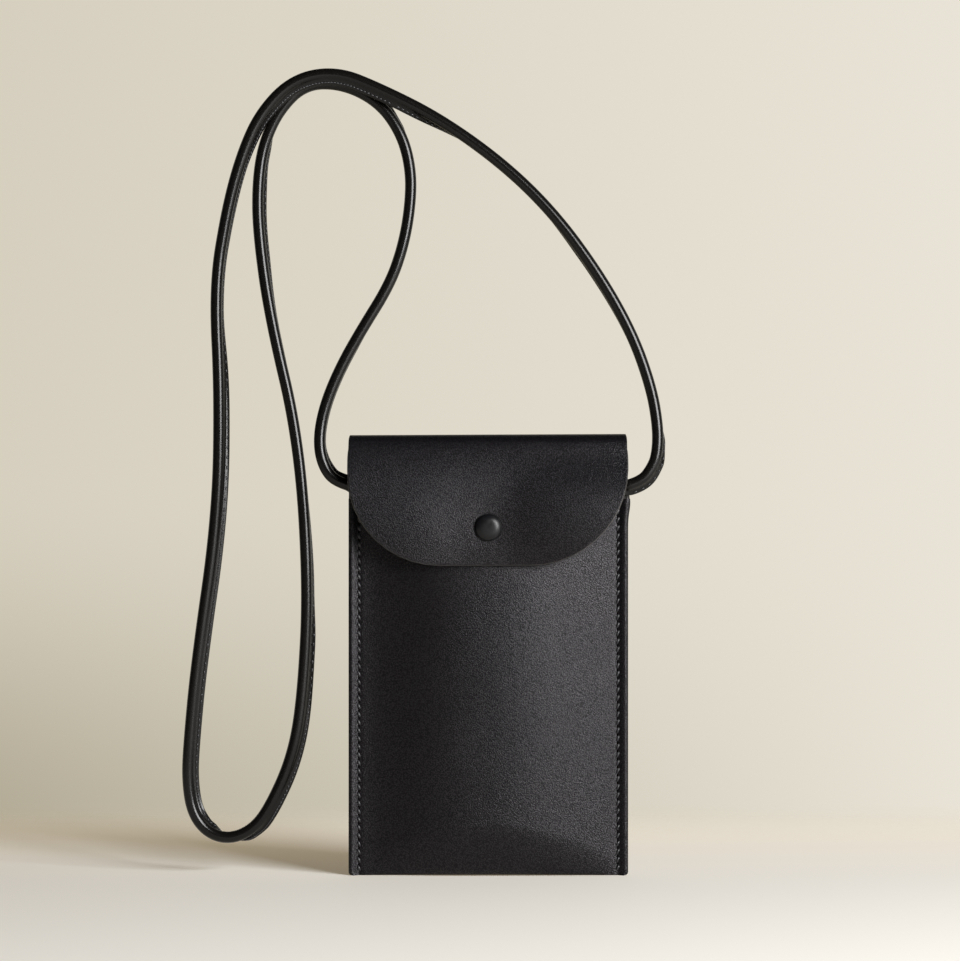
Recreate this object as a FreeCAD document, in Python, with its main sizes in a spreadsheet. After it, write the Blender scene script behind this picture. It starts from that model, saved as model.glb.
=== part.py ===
import FreeCAD, Part
import Sketcher
import math
import os
from FreeCAD import Placement, Rotation, Vector

# Leather phone pouch with a snap flap and a long rolled strap.
# Frame: X to the right, the front looks along -Y, Z up. The seam plane is y = 0
# and the pouch stands on z = 0. Lengths are in millimetres, angles in degrees.

SIZES = [
    ("pouch_width", 114.0, "over both seam lands"),
    ("top_height", 180.0, "top of the fold above the table"),
    ("leather", 1.6, "thickness of the hide"),
    ("seam_land", 4.8, "flat sewn margin at each side"),
    ("side_curve", 20.2, "width over which a panel curves down to its seam land"),
    ("base_height", 16.0, "how far up the bottom fold reaches"),
    ("base_front", 6.5, "flat of the base in front of the seam plane"),
    ("base_back", 5.5, "flat of the base behind the seam plane"),
    ("front_low", 10.4, "front panel's crown where the bottom fold ends"),
    ("front_middle", 11.0, "front panel's crown at mid height"),
    ("front_snap", 9.6, "front panel's crown at the snap"),
    ("front_mouth", 9.2, "front panel's crown at the mouth"),
    ("back_low", 8.4, "back panel's crown where the bottom fold ends"),
    ("back_middle", 9.0, "back panel's crown at mid height"),
    ("back_snap", 8.4, "back panel's crown at the height of the snap"),
    ("back_mouth", 8.2, "back panel's crown at the mouth"),
    ("middle_height", 70.0, "height of the widest section"),
    ("mouth_rise", 11.6, "upper edge of the front panel above the snap"),
    ("back_turn", 9.0, "height over which the back panel turns to the fold"),
    ("fold_radius", 7.0, "outer radius of the top fold"),
    ("fold_forward", 1.0, "axis of the top fold in front of the seam plane"),
    ("fold_crown", 0.4, "crown left in the back panel at the fold"),
    ("flap_overhang", 0.2, "flap past each side of the pouch"),
    ("flap_length", 54.0, "from the top of the fold down to the flap's edge"),
    ("flap_corner", 38.0, "radius of the flap's lower corners"),
    ("flap_bow", 2.6, "bow across the flap at its lower edge"),
    ("flap_standoff", 2.8, "flap's inner face from the front panel at the snap"),
    ("flap_hem_out", 0.2, "flap's lower edge further out than at the snap"),
    ("flap_swell", 1.9, "flap further out than a straight line, half way to the snap"),
    ("hinge_gap", 0.3, "room between the flap and the fold"),
    ("lining", 0.6, "thickness of the lining"),
    ("glue_line", 0.2, "between leather and lining"),
    ("lining_trim", 3.0, "lining stops short of the seam land"),
    ("lining_drop", 1.5, "lining stops below the mouth"),
    ("stitch_inset", 3.6, "stitch line from the edge"),
    ("stitch_pitch", 3.3, "from one seam stitch to the next"),
    ("stitch_length", 2.5, "visible thread of one seam stitch"),
    ("stitch_slant", 14.0, "degrees off the seam line"),
    ("stitch_start", 4.5, "first seam stitch above the table"),
    ("stitch_end_gap", 2.0, "last seam stitch below the mouth"),
    ("thread", 0.7, "diameter of the thread"),
    ("tab_stitch_pitch", 1.9, "from one tab stitch to the next"),
    ("tab_stitch_length", 1.5, "visible thread of one tab stitch"),
    ("snap_rise", 16.0, "axis of the snap above the flap's edge"),
    ("cap_diameter", 11.0, "snap cap"),
    ("cap_dome", 2.2, "height of the cap's dome"),
    ("cap_seat", 0.35, "cap pressed into the flap"),
    ("cap_post", 2.9, "diameter of the cap's post"),
    ("hole_clearance", 0.2, "punched holes over their posts"),
    ("socket_diameter", 9.6, "socket's flange"),
    ("socket_flange", 0.6, "thickness of that flange"),
    ("socket_body", 7.4, "socket's body"),
    ("socket_bore", 4.8, "bore that goes over the stud"),
    ("snap_gap", 0.3, "between the closed socket and the stud's flange"),
    ("ring_wire", 0.5, "wire of the spring ring"),
    ("ring_room", 0.1, "groove over the ring's wire"),
    ("stud_flange_diameter", 8.4, "stud's flange"),
    ("stud_flange", 0.5, "thickness of that flange"),
    ("stud_height", 1.6, "stud above its flange"),
    ("stud_bulb", 3.8, "stud's bulb"),
    ("bulb_round", 0.7, "radius of the bulb's edge"),
    ("stud_seat", 0.25, "stud pressed into the front panel"),
    ("stud_roof", 0.4, "metal above the rivet's shank"),
    ("rivet_head", 8.4, "diameter of the rivet's head"),
    ("rivet_head_height", 0.6, "thickness of the rivet's head"),
    ("rivet_rest", 0.15, "rivet's head off the lining"),
    ("rivet_shank", 1.9, "diameter of the rivet's shank"),
    ("strap_diameter", 5.0, "rolled strap"),
    ("core_diameter", 2.7, "filler cord in the strap"),
    ("core_clearance", 0.15, "between the filler cord and the cover"),
    ("strap_rise", 18.0, "degrees by which the strap climbs where it leaves the pouch"),
    ("strap_edge_gap", 0.2, "rolled strap clear of the pouch's edge"),
    ("strap_first_run", 5.0, "straight stretch at each end of the strap"),
    ("tab_length", 9.0, "flattened end of the strap"),
    ("tab_width", 6.6, "width of that end"),
    ("tab_thickness", 2.2, "thickness of that end"),
    ("tab_corner", 1.5, "rounding of the tab's inner corners"),
    ("tab_clearance", 0.45, "tab above the front panel's seam land"),
    ("cutter", 40.0, "reach of the bodies used for cutting"),
]

# Share of a panel's rise that lies in its gently crowned middle.
CROWN_SHARE = 0.16
# Where the bottom fold's sections lie on its quarter round, in degrees.
BASE_ANGLES = (0.0, 22.5, 45.0, 67.5, 90.0)
# Highest degree of the lofted leather, low enough that it does not ripple.
LOFT_DEGREE = 3
# Each arc of the strap takes this share of the shorter run beside it.
ARC_SHARE = 0.45

# Points nearer than this are one point.
TOUCH = 1e-6

FRONT = Vector(0, -1, 0)
BACK = Vector(0, 1, 0)

# The strap from its left end to its right end, without the run at each end.
# It climbs on the left, goes over the top, hangs down in a long loop, comes
# up again, goes over the first strand and comes down on the right.
STRAP_POINTS = [
    (-66.8, -0.7, 166.0),
    (-69.0, -0.2, 173.6),
    (-68.7, 0.5, 183.0),
    (-65.8, 1.2, 194.5),
    (-60.0, 2.0, 208.0),
    (-52.5, 2.8, 221.5),
    (-40.3, 3.8, 241.2),
    (-34.8, 4.4, 257.0),
    (-32.0, 4.9, 273.0),
    (-31.6, 5.3, 288.0),
    (-35.4, 5.6, 303.0),
    (-44.6, 5.8, 316.0),
    (-59.5, 6.0, 323.6),
    (-75.0, 6.0, 323.6),
    (-86.0, 5.9, 312.6),
    (-92.4, 5.7, 298.0),
    (-94.6, 5.5, 281.5),
    (-94.2, 5.2, 262.0),
    (-89.5, 4.8, 228.0),
    (-77.6, 4.3, 178.0),
    (-73.6, 3.8, 118.0),
    (-76.0, 3.4, 72.0),
    (-80.2, 3.1, 47.5),
    (-90.0, 2.9, 26.0),
    (-97.2, 2.8, 17.6),
    (-106.6, 2.7, 14.3),
    (-115.4, 2.7, 17.4),
    (-121.2, 2.6, 25.6),
    (-123.1, 2.5, 39.0),
    (-122.4, 2.4, 54.0),
    (-119.4, 2.3, 86.0),
    (-110.8, 2.2, 146.0),
    (-109.8, 2.0, 196.0),
    (-112.0, 1.8, 240.0),
    (-107.0, 1.7, 271.0),
    (-101.2, 1.6, 293.0),
    (-93.4, 1.5, 311.0),
    (-79.8, 1.5, 325.0),
    (-62.0, 1.5, 328.2),
    (-44.0, 1.6, 321.0),
    (-20.0, 1.8, 309.0),
    (6.0, 2.1, 290.5),
    (27.0, 2.2, 270.0),
    (45.0, 2.0, 245.5),
    (58.6, 1.5, 221.5),
    (66.6, 0.8, 199.0),
    (69.4, 0.2, 182.0),
    (68.8, -0.3, 171.0),
    (66.4, -0.7, 165.6),
]

doc = FreeCAD.newDocument("phone_pouch")

sheet = doc.addObject("Spreadsheet::Sheet", "Sizes")
for row, (alias, value, meaning) in enumerate(SIZES, start=1):
    sheet.set(f"A{row}", meaning)
    sheet.set(f"B{row}", str(value))
    sheet.setAlias(f"B{row}", alias)
doc.recompute()


def size(alias):
    return float(sheet.get(alias))


half_width = size("pouch_width") / 2
inner_edge = half_width - size("seam_land")
shoulder = inner_edge - size("side_curve")
leather = size("leather")
fold_axis_z = size("top_height") - size("fold_radius")
fold_axis_y = -size("fold_forward")
lining_shift = leather + size("glue_line")
flap_edge = size("top_height") - size("flap_length")
snap_z = flap_edge + size("snap_rise")
mouth_z = snap_z + size("mouth_rise")
back_flat_z = fold_axis_z - size("back_turn")


def feature(label, shape):
    """A document object for a shape worked out here."""
    made = doc.addObject("Part::Feature", label)
    made.Label = label
    made.Shape = shape
    return made


# Sections of the panels

def bulge(rise, edge):
    """Points of half a crowned section: middle, shoulder, side, edge.

    The section is a shallow arc between the shoulders and a rounder arc
    from each shoulder to the seam land, tangent to it. Heights are above
    the land. The side arc is cut off at x = edge.
    """
    crown = CROWN_SHARE * rise
    drop = rise - crown
    start = 2 * math.atan(crown / shoulder)
    chord_angle = math.atan(drop / (inner_edge - shoulder))
    chord = math.hypot(inner_edge - shoulder, drop)
    radius = chord / (2 * math.sin(chord_angle - start))
    end = math.asin(math.sin(start) + (edge - shoulder) / radius)

    def on_side(angle):
        across = shoulder + radius * (math.sin(angle) - math.sin(start))
        height = drop + radius * (math.cos(angle) - math.cos(start))
        return across, height

    return (0.0, rise), (shoulder, drop), on_side((start + end) / 2), on_side(end)


def face_edges(side, crown, shift, z, edge, land):
    """Edges of one face from -X to +X, shifted towards the seam plane."""
    rim = leather
    top, bend, middle, end = bulge(crown - rim, edge)

    def at(point, sign):
        return Vector(sign * point[0], side.y * (rim + point[1] - shift), z)

    edges = [
        Part.Arc(at(end, -1), at(middle, -1), at(bend, -1)).toShape(),
        Part.Arc(at(bend, -1), at(top, 1), at(bend, 1)).toShape(),
        Part.Arc(at(bend, 1), at(middle, 1), at(end, 1)).toShape(),
    ]
    if land:
        outside = (half_width, 0.0)
        edges.insert(0, Part.LineSegment(at(outside, -1), at(end, -1)).toShape())
        edges.append(Part.LineSegment(at(end, 1), at(outside, 1)).toShape())
    return edges


def closed_wire(first, second):
    """Join two rows of edges, both running from -X to +X, into one wire."""
    first_start = first[0].Vertexes[0].Point
    first_end = first[-1].Vertexes[-1].Point
    second_start = second[0].Vertexes[0].Point
    second_end = second[-1].Vertexes[-1].Point
    edges = list(first)
    if first_end.distanceToPoint(second_end) > TOUCH:
        edges.append(Part.LineSegment(first_end, second_end).toShape())
    edges.extend(reversed(second))
    if first_start.distanceToPoint(second_start) > TOUCH:
        edges.append(Part.LineSegment(second_start, first_start).toShape())
    return Part.Wire(edges)


def sheet_loft(side, stations, shift, thickness, edge, land):
    """A curved sheet through stations of height and crown."""
    wires = []
    for z, crown in stations:
        outer = face_edges(side, crown, shift, z, edge, land)
        inner = face_edges(side, crown, shift + thickness, z, edge, land)
        wires.append(closed_wire(outer, inner))
    return Part.makeLoft(wires, True, False, False, LOFT_DEGREE)


def tub_loft(shift, floor, edge, land):
    """The filled bottom fold, from its floor up to the panels."""
    height = size("base_height")
    wires = []
    for angle in BASE_ANGLES:
        z = floor + (1 - math.cos(math.radians(angle))) * (height - floor)
        fullness = math.sin(math.radians(angle))
        rows = []
        for side, flat, low in ((FRONT, "base_front", "front_low"), (BACK, "base_back", "back_low")):
            crown = size(flat) + fullness * (size(low) - size(flat))
            rows.append(face_edges(side, crown, shift, z, edge, land))
        wires.append(closed_wire(*rows))
    return Part.makeLoft(wires, True, False, False, LOFT_DEGREE)


# Leather shell

front_stations = [
    (size("base_height"), size("front_low")),
    (size("middle_height"), size("front_middle")),
    (snap_z, size("front_snap")),
    (mouth_z, size("front_mouth")),
]
back_stations = [
    (size("base_height"), size("back_low")),
    (size("middle_height"), size("back_middle")),
    (snap_z, size("back_snap")),
    (back_flat_z, size("back_mouth")),
]

front_sheet = feature("front_sheet", sheet_loft(FRONT, front_stations, 0.0, leather, inner_edge, True))

base_outer = feature("base_outer", tub_loft(0.0, 0.0, inner_edge, True))
base_inner = feature("base_inner", tub_loft(leather, leather, inner_edge, False))
base_fold = doc.addObject("Part::Cut", "base_fold")
base_fold.Base = base_outer
base_fold.Tool = base_inner

lower_back = sheet_loft(BACK, back_stations, 0.0, leather, inner_edge, True)
turn_start = face_edges(BACK, size("back_mouth"), 0.0, back_flat_z, inner_edge, True)
turn_start_inner = face_edges(BACK, size("back_mouth"), leather, back_flat_z, inner_edge, True)
# At the fold the panel is almost flat, and its crown meets the fold's back.
fold_back = fold_axis_y + size("fold_radius")
fold_shift = leather + size("fold_crown") - fold_back
turn_end = face_edges(
    BACK, leather + size("fold_crown"), fold_shift, fold_axis_z, inner_edge, True)
turn_end_inner = face_edges(
    BACK, leather + size("fold_crown"), fold_shift + leather, fold_axis_z, inner_edge, True)
upper_back = Part.makeLoft(
    [closed_wire(turn_start, turn_start_inner), closed_wire(turn_end, turn_end_inner)], True, True)
back_panel = feature("back_panel", lower_back.fuse(upper_back))


def half_roll(label, inset):
    """Half a cylinder along X, over the axis of the top fold."""
    roll = doc.addObject("Part::Cylinder", label)
    roll.Angle = 180
    roll.Placement = Placement(Vector(0, 0, 0), Rotation(Vector(1, 1, 1), 120))
    roll.setExpression("Radius", f"Sizes.fold_radius - {inset}")
    roll.setExpression("Height", "Sizes.pouch_width + 2 * Sizes.flap_overhang")
    roll.setExpression("Placement.Base.x", "-Sizes.pouch_width / 2 - Sizes.flap_overhang")
    roll.setExpression("Placement.Base.y", "-Sizes.fold_forward")
    roll.setExpression("Placement.Base.z", "Sizes.top_height - Sizes.fold_radius")
    return roll


top_fold = doc.addObject("Part::Cut", "top_fold")
top_fold.Base = half_roll("fold_outside", "0")
top_fold.Tool = half_roll("fold_inside", "Sizes.leather")


# Flap

flap_half = half_width + size("flap_overhang")
flap_top = fold_axis_z - size("hinge_gap")
flap_out_top = size("fold_forward") + size("fold_radius")
flap_out_snap = size("front_snap") + size("flap_standoff") + leather
flap_half_way = (flap_top + snap_z) / 2
flap_out_half_way = (flap_out_top + flap_out_snap) / 2 + size("flap_swell")
# The sheet is wider than the outline that is cut from it.
sheet_half = flap_half + leather


def flap_section(z, out):
    """One level of the flap's sheet, bowed more towards the lower edge."""
    bow = size("flap_bow") * (fold_axis_z - z) / (fold_axis_z - flap_edge)
    rows = []
    for inset in (0.0, leather):
        ends = [Vector(sign * sheet_half, -(out - bow - inset), z) for sign in (-1, 1)]
        rows.append([Part.Arc(ends[0], Vector(0, -(out - inset), z), ends[1]).toShape()])
    return closed_wire(*rows)


flap_levels = [
    (flap_top, flap_out_top),
    (flap_half_way, flap_out_half_way),
    (snap_z, flap_out_snap),
    (flap_edge, flap_out_snap + size("flap_hem_out")),
]
flap_wires = [flap_section(z, out) for z, out in flap_levels]
flap_sheet = feature("flap_sheet", Part.makeLoft(flap_wires, True, False, False, LOFT_DEGREE))

flap_outline = doc.addObject("PartDesign::Body", "flap_outline")
outline = flap_outline.newObject("Sketcher::SketchObject", "flap_cut")
front_plane = [p for p in flap_outline.Origin.OriginFeatures if p.Role == "XZ_Plane"][0]
outline.AttachmentSupport = [(front_plane, "")]
outline.MapMode = "FlatFace"
corner = size("flap_corner")
flat = flap_half - corner
rise = flap_edge + corner


def line(x0, z0, x1, z1):
    return Part.LineSegment(Vector(x0, z0, 0), Vector(x1, z1, 0))


def corner_arc(x, start, end):
    circle = Part.Circle(Vector(x, rise, 0), Vector(0, 0, 1), corner)
    return Part.ArcOfCircle(circle, math.radians(start), math.radians(end))


TOP, RIGHT, RIGHT_ARC, LOWER, LEFT_ARC, LEFT = range(6)
START, END = range(1, 3)
ACROSS, ORIGIN = range(-2, 0)
outline.addGeometry([
    line(-flap_half, flap_top, flap_half, flap_top),
    line(flap_half, flap_top, flap_half, rise),
    corner_arc(flat, -90, 0),
    line(flat, flap_edge, -flat, flap_edge),
    corner_arc(-flat, 180, 270),
    line(-flap_half, rise, -flap_half, flap_top),
], False)


def tie(kind, *where):
    return outline.addConstraint(Sketcher.Constraint(kind, *where))


tie("Coincident", TOP, END, RIGHT, START)
tie("Coincident", LEFT, END, TOP, START)
tie("Tangent", RIGHT, END, RIGHT_ARC, END)
tie("Tangent", RIGHT_ARC, START, LOWER, START)
tie("Tangent", LOWER, END, LEFT_ARC, END)
tie("Tangent", LEFT_ARC, START, LEFT, START)
tie("Horizontal", LOWER)
tie("Vertical", RIGHT)
tie("Vertical", LEFT)
tie("Symmetric", TOP, START, TOP, END, ACROSS)
tie("Equal", RIGHT_ARC, LEFT_ARC)
driven = [
    (tie("Radius", RIGHT_ARC, corner), "Sizes.flap_corner"),
    (tie("DistanceX", TOP, START, TOP, END, 2 * flap_half), "Sizes.pouch_width + 2 * Sizes.flap_overhang"),
    (tie("DistanceY", ORIGIN, START, TOP, START, flap_top),
     "Sizes.top_height - Sizes.fold_radius - Sizes.hinge_gap"),
    (tie("DistanceY", ORIGIN, START, LOWER, START, flap_edge), "Sizes.top_height - Sizes.flap_length"),
]
for index, expression in driven:
    outline.setExpression(f"Constraints[{index}]", expression)

outline_pad = flap_outline.newObject("PartDesign::Pad", "flap_pad")
outline_pad.Profile = outline
outline_pad.setExpression("Length", "Sizes.cutter")
flap_blank = doc.addObject("Part::Common", "flap_blank")
flap_blank.Base = flap_outline
flap_blank.Tool = flap_sheet


# Snap fastener, on an axis along Y. Places are given as distances in front of the seam plane.

PANEL_SEAT = "(Sizes.front_snap - Sizes.stud_seat)"
STUD_FLANGE_TOP = f"({PANEL_SEAT} + Sizes.stud_flange)"
STUD_TOP = f"({STUD_FLANGE_TOP} + Sizes.stud_height)"
SOCKET_MOUTH = f"({STUD_FLANGE_TOP} + Sizes.snap_gap)"
FLAP_INSIDE = "(Sizes.front_snap + Sizes.flap_standoff)"
SOCKET_FLANGE = f"({FLAP_INSIDE} - Sizes.socket_flange)"
CAP_SEAT = f"({FLAP_INSIDE} + Sizes.leather - Sizes.cap_seat)"
RING_PLACE = f"({STUD_FLANGE_TOP} + Sizes.stud_height / 2)"
RIVET_HEAD_FRONT = ("(Sizes.front_snap - Sizes.leather - Sizes.glue_line"
                    " - Sizes.lining - Sizes.rivet_rest)")
SNAP_HEIGHT = "Sizes.top_height - Sizes.flap_length + Sizes.snap_rise"
FORWARD = Rotation(Vector(1, 0, 0), 90)


def on_snap_axis(made, start):
    """Turn a round solid to point forward and set it on the snap's axis."""
    made.Placement = Placement(Vector(0, 0, 0), FORWARD)
    made.setExpression("Placement.Base.y", f"-({start})")
    made.setExpression("Placement.Base.z", SNAP_HEIGHT)
    return made


def disc(label, diameter, start, end):
    """A cylinder on the snap's axis between two distances."""
    made = doc.addObject("Part::Cylinder", label)
    made.setExpression("Radius", f"({diameter}) / 2")
    made.setExpression("Height", f"({end}) - ({start})")
    return on_snap_axis(made, start)


def ring(label, middle_diameter, wire_diameter, place):
    made = doc.addObject("Part::Torus", label)
    made.setExpression("Radius1", f"({middle_diameter}) / 2")
    made.setExpression("Radius2", f"({wire_diameter}) / 2")
    return on_snap_axis(made, place)


def fuse(label, *pieces):
    made = doc.addObject("Part::MultiFuse", label)
    made.Shapes = list(pieces)
    return made


def cut(label, base, tool):
    made = doc.addObject("Part::Cut", label)
    made.Base = base
    made.Tool = tool
    return made


cap_radius = "(Sizes.cap_diameter^2 / 4 + Sizes.cap_dome^2) / (2 * Sizes.cap_dome)"
dome = doc.addObject("Part::Sphere", "cap_dome_top")
dome.setExpression("Radius", cap_radius)
dome.setExpression("Angle1", f"asin(1 - Sizes.cap_dome / ({cap_radius}))")
dome.Angle2 = 90
on_snap_axis(dome, f"{CAP_SEAT} + Sizes.cap_dome - ({cap_radius})")
cap_post = disc("cap_post_pin", "Sizes.cap_post", SOCKET_FLANGE, CAP_SEAT)
snap_cap = fuse("snap_cap", dome, cap_post)

flap_cuts = fuse(
    "flap_cuts",
    disc("cap_hole", "Sizes.cap_post + Sizes.hole_clearance", "0", "Sizes.cutter"),
    disc("cap_recess", "Sizes.cap_diameter + Sizes.hole_clearance", CAP_SEAT, "Sizes.cutter"),
    disc("socket_recess", "Sizes.socket_diameter + Sizes.hole_clearance", "0", FLAP_INSIDE),
)
flap = cut("flap", flap_blank, flap_cuts)

RING_MIDDLE = "Sizes.socket_bore + Sizes.ring_wire"
socket_blank = fuse(
    "socket_blank",
    disc("socket_plate", "Sizes.socket_diameter", SOCKET_FLANGE, FLAP_INSIDE),
    disc("socket_wall", "Sizes.socket_body", SOCKET_MOUTH, FLAP_INSIDE),
)
socket_cuts = fuse(
    "socket_cuts",
    disc("socket_hole", "Sizes.socket_bore", "0", SOCKET_FLANGE),
    disc("socket_post_hole", "Sizes.cap_post + Sizes.hole_clearance", "0", "Sizes.cutter"),
    ring("ring_groove", RING_MIDDLE, "Sizes.ring_wire + 2 * Sizes.ring_room", RING_PLACE),
)
snap_socket = cut("snap_socket", socket_blank, socket_cuts)
snap_spring_ring = ring("snap_spring_ring", RING_MIDDLE, "Sizes.ring_wire", RING_PLACE)

stud_blank = fuse(
    "stud_blank",
    disc("stud_plate", "Sizes.stud_flange_diameter", PANEL_SEAT, STUD_FLANGE_TOP),
    disc("stud_neck", "Sizes.stud_bulb - 2 * Sizes.bulb_round", PANEL_SEAT, STUD_TOP),
    ring("stud_edge", "Sizes.stud_bulb - 2 * Sizes.bulb_round", "2 * Sizes.bulb_round",
         f"{STUD_TOP} - Sizes.bulb_round"),
)
shank_hole = disc("shank_hole", "Sizes.rivet_shank + Sizes.hole_clearance", "0",
                  f"{STUD_TOP} - Sizes.stud_roof")
snap_stud = cut("snap_stud", stud_blank, shank_hole)
snap_post = fuse(
    "snap_post",
    disc("rivet_plate", "Sizes.rivet_head", f"{RIVET_HEAD_FRONT} - Sizes.rivet_head_height",
         RIVET_HEAD_FRONT),
    disc("rivet_pin", "Sizes.rivet_shank", f"{RIVET_HEAD_FRONT} - Sizes.rivet_head_height",
         f"{STUD_TOP} - Sizes.stud_roof"),
)

panel_cuts = fuse(
    "panel_cuts",
    disc("panel_hole", "Sizes.rivet_shank + Sizes.hole_clearance", "0", "Sizes.cutter"),
    disc("panel_recess", "Sizes.stud_flange_diameter + Sizes.hole_clearance", PANEL_SEAT,
         "Sizes.cutter"),
)
front_panel = cut("front_panel", front_sheet, panel_cuts)


# Lining of the pocket

lining_edge = inner_edge - size("lining_trim")


def lining_sheet(side, stations):
    """Lining behind one panel, cut off level below the mouth."""
    whole = sheet_loft(side, stations, lining_shift, size("lining"), lining_edge, False)
    reach = size("cutter") + size("pouch_width")
    above = Part.makeBox(
        2 * reach, 2 * reach, reach,
        Vector(-reach, -reach, mouth_z - size("lining_drop")))
    return whole.cut(above)


front_lining_sheet = feature("front_lining_sheet", lining_sheet(FRONT, front_stations))
front_lining = cut("front_lining", front_lining_sheet, disc(
    "lining_hole", "Sizes.rivet_shank + Sizes.hole_clearance", "0", "Sizes.cutter"))
back_lining = feature("back_lining", lining_sheet(BACK, back_stations))
lining_inside = lining_shift + size("lining")
base_lining = feature("base_lining", tub_loft(lining_shift, lining_shift, lining_edge, False).cut(
    tub_loft(lining_inside, lining_inside, lining_edge, False)))


# Seam and tab stitches: half round threads that lie on the leather

def thread_bar(length, side):
    """One stitch along Z, with its flat face on y = 0."""
    bar = Part.makeCylinder(size("thread") / 2, length, Vector(0, 0, -length / 2), Vector(0, 0, 1), 180)
    if side == FRONT:
        bar.rotate(Vector(0, 0, 0), Vector(0, 0, 1), 180)
    return bar


def place_bar(length, side, turn, place):
    bar = thread_bar(length, side)
    bar.rotate(Vector(0, 0, 0), Vector(0, 1, 0), turn)
    bar.translate(place)
    return bar


strap_rise = math.radians(size("strap_rise"))
strap_end_x = half_width + size("strap_edge_gap") + size("strap_diameter") / 2 * math.sin(strap_rise)
# The tab slopes down inwards, and passes over the end of the front panel's land.
tab_reach = size("tab_width") / 2 / math.cos(strap_rise) + (strap_end_x - inner_edge) * math.tan(strap_rise)
strap_end_z = mouth_z + size("tab_clearance") + tab_reach
stitch_x = half_width - size("stitch_inset")
seam_run = mouth_z - size("stitch_end_gap") - size("stitch_start")
stitch_count = int(seam_run / size("stitch_pitch")) + 1


def seam_stitches(hand):
    """Slanted stitches on both faces of one seam."""
    bars = []
    for index in range(stitch_count):
        z = size("stitch_start") + index * size("stitch_pitch")
        for side in (FRONT, BACK):
            place = Vector(hand * stitch_x, side.y * leather, z)
            bars.append(place_bar(size("stitch_length"), side, hand * size("stitch_slant"), place))
    return Part.makeCompound(bars)


def tab_stitches(hand):
    """Three stitches through a strap tab and the back panel's land."""
    bars = []
    tab_z = strap_end_z - (strap_end_x - stitch_x) * math.tan(strap_rise)
    for step in (-1, 0, 1):
        z = tab_z + step * size("tab_stitch_pitch")
        x = hand * stitch_x
        front_place = Vector(x, -size("tab_thickness"), z)
        back_place = Vector(x, leather, z)
        bars.append(place_bar(size("tab_stitch_length"), FRONT, 0, front_place))
        bars.append(place_bar(size("tab_stitch_length"), BACK, 0, back_place))
    return Part.makeCompound(bars)


def strap_tab(hand):
    """Flattened strap end. Its outer end stays square for the rolled strap."""
    length = size("tab_length")
    low_x = -length if hand > 0 else 0.0
    block = Part.makeBox(
        length, size("tab_thickness"), size("tab_width"),
        Vector(low_x, -size("tab_thickness"), -size("tab_width") / 2))
    inner_x = -hand * length
    corners = []
    for edge in block.Edges:
        along_y = abs(edge.BoundBox.YLength - size("tab_thickness")) < TOUCH
        if along_y and abs(edge.CenterOfMass.x - inner_x) < TOUCH:
            corners.append(edge)
    return block.makeFillet(size("tab_corner"), corners)


sides = []
for name, hand in (("left", -1), ("right", 1)):
    tab = feature(f"{name}_strap_tab", strap_tab(hand))
    tab.Placement = Placement(
        Vector(hand * strap_end_x, 0, strap_end_z),
        Rotation(Vector(0, 1, 0), -hand * size("strap_rise")))
    sides.append(tab)
    sides.append(feature(f"{name}_tab_stitches", tab_stitches(hand)))
    sides.append(feature(f"{name}_seam_stitches", seam_stitches(hand)))


# Strap

strap_end_y = -size("tab_thickness") / 2


def strap_end(hand):
    """The two points of the straight run that leaves one tab."""
    start = Vector(hand * strap_end_x, strap_end_y, strap_end_z)
    outward = Vector(hand * math.cos(strap_rise), 0, math.sin(strap_rise))
    return [start, start + outward * size("strap_first_run")]


route = strap_end(-1) + [Vector(*point) for point in STRAP_POINTS] + strap_end(1)[::-1]


def strap_path(points):
    """Straight runs joined by tangent arcs, with the arcs' radii."""
    edges = []
    radii = []
    last = points[0]
    for before, point, after in zip(points, points[1:], points[2:]):
        back = before - point
        ahead = after - point
        turn = math.pi - back.getAngle(ahead)
        trim = ARC_SHARE * min(back.Length, ahead.Length)
        radii.append(trim / math.tan(turn / 2))
        back.normalize()
        ahead.normalize()
        start = point + back * trim
        end = point + ahead * trim
        inward = back + ahead
        inward.normalize()
        depth = radii[-1] / math.cos(turn / 2) - radii[-1]
        edges.append(Part.LineSegment(last, start).toShape())
        edges.append(Part.Arc(start, point + inward * depth, end).toShape())
        last = end
    edges.append(Part.LineSegment(last, points[-1]).toShape())
    return Part.Wire(edges), radii


strap_wire, strap_radii = strap_path(route)


def strap_tube(diameter):
    direction = route[1] - route[0]
    ring_wire = Part.Wire([Part.makeCircle(diameter / 2, route[0], direction)])
    return strap_wire.makePipeShell([ring_wire], True, False)


core_bore = size("core_diameter") + 2 * size("core_clearance")
strap_cover = feature("strap_cover", strap_tube(size("strap_diameter")).cut(strap_tube(core_bore)))
strap_core = feature("strap_core", strap_tube(size("core_diameter")))

pieces = [
    front_panel, base_fold, back_panel, top_fold, flap,
    front_lining, back_lining, base_lining,
    snap_cap, snap_socket, snap_spring_ring, snap_stud, snap_post,
    strap_cover, strap_core,
] + sides

doc.recompute()

broken = [o.Label for o in doc.Objects if {"Invalid", "Error"} & set(o.State)]
if broken:
    raise RuntimeError(f"failed objects: {broken}")
for piece in pieces:
    if piece.Shape.isNull() or not piece.Shape.isValid() or not piece.Shape.Solids:
        raise RuntimeError(f"bad shape: {piece.Label}")

print("strap length", round(strap_wire.Length, 1))
print("strap radii", [round(radius, 1) for radius in strap_radii])
core_area = math.pi * size("core_diameter") ** 2 / 4
print("strap core volume over section times length",
      round(strap_core.Shape.Volume / (core_area * strap_wire.Length), 4))
os.makedirs("parts", exist_ok=True)
for piece in pieces:
    print(piece.Label, len(piece.Shape.Solids), round(piece.Shape.Volume, 1))
    piece.Shape.exportStep(f"parts/{piece.Label}.step")
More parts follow.
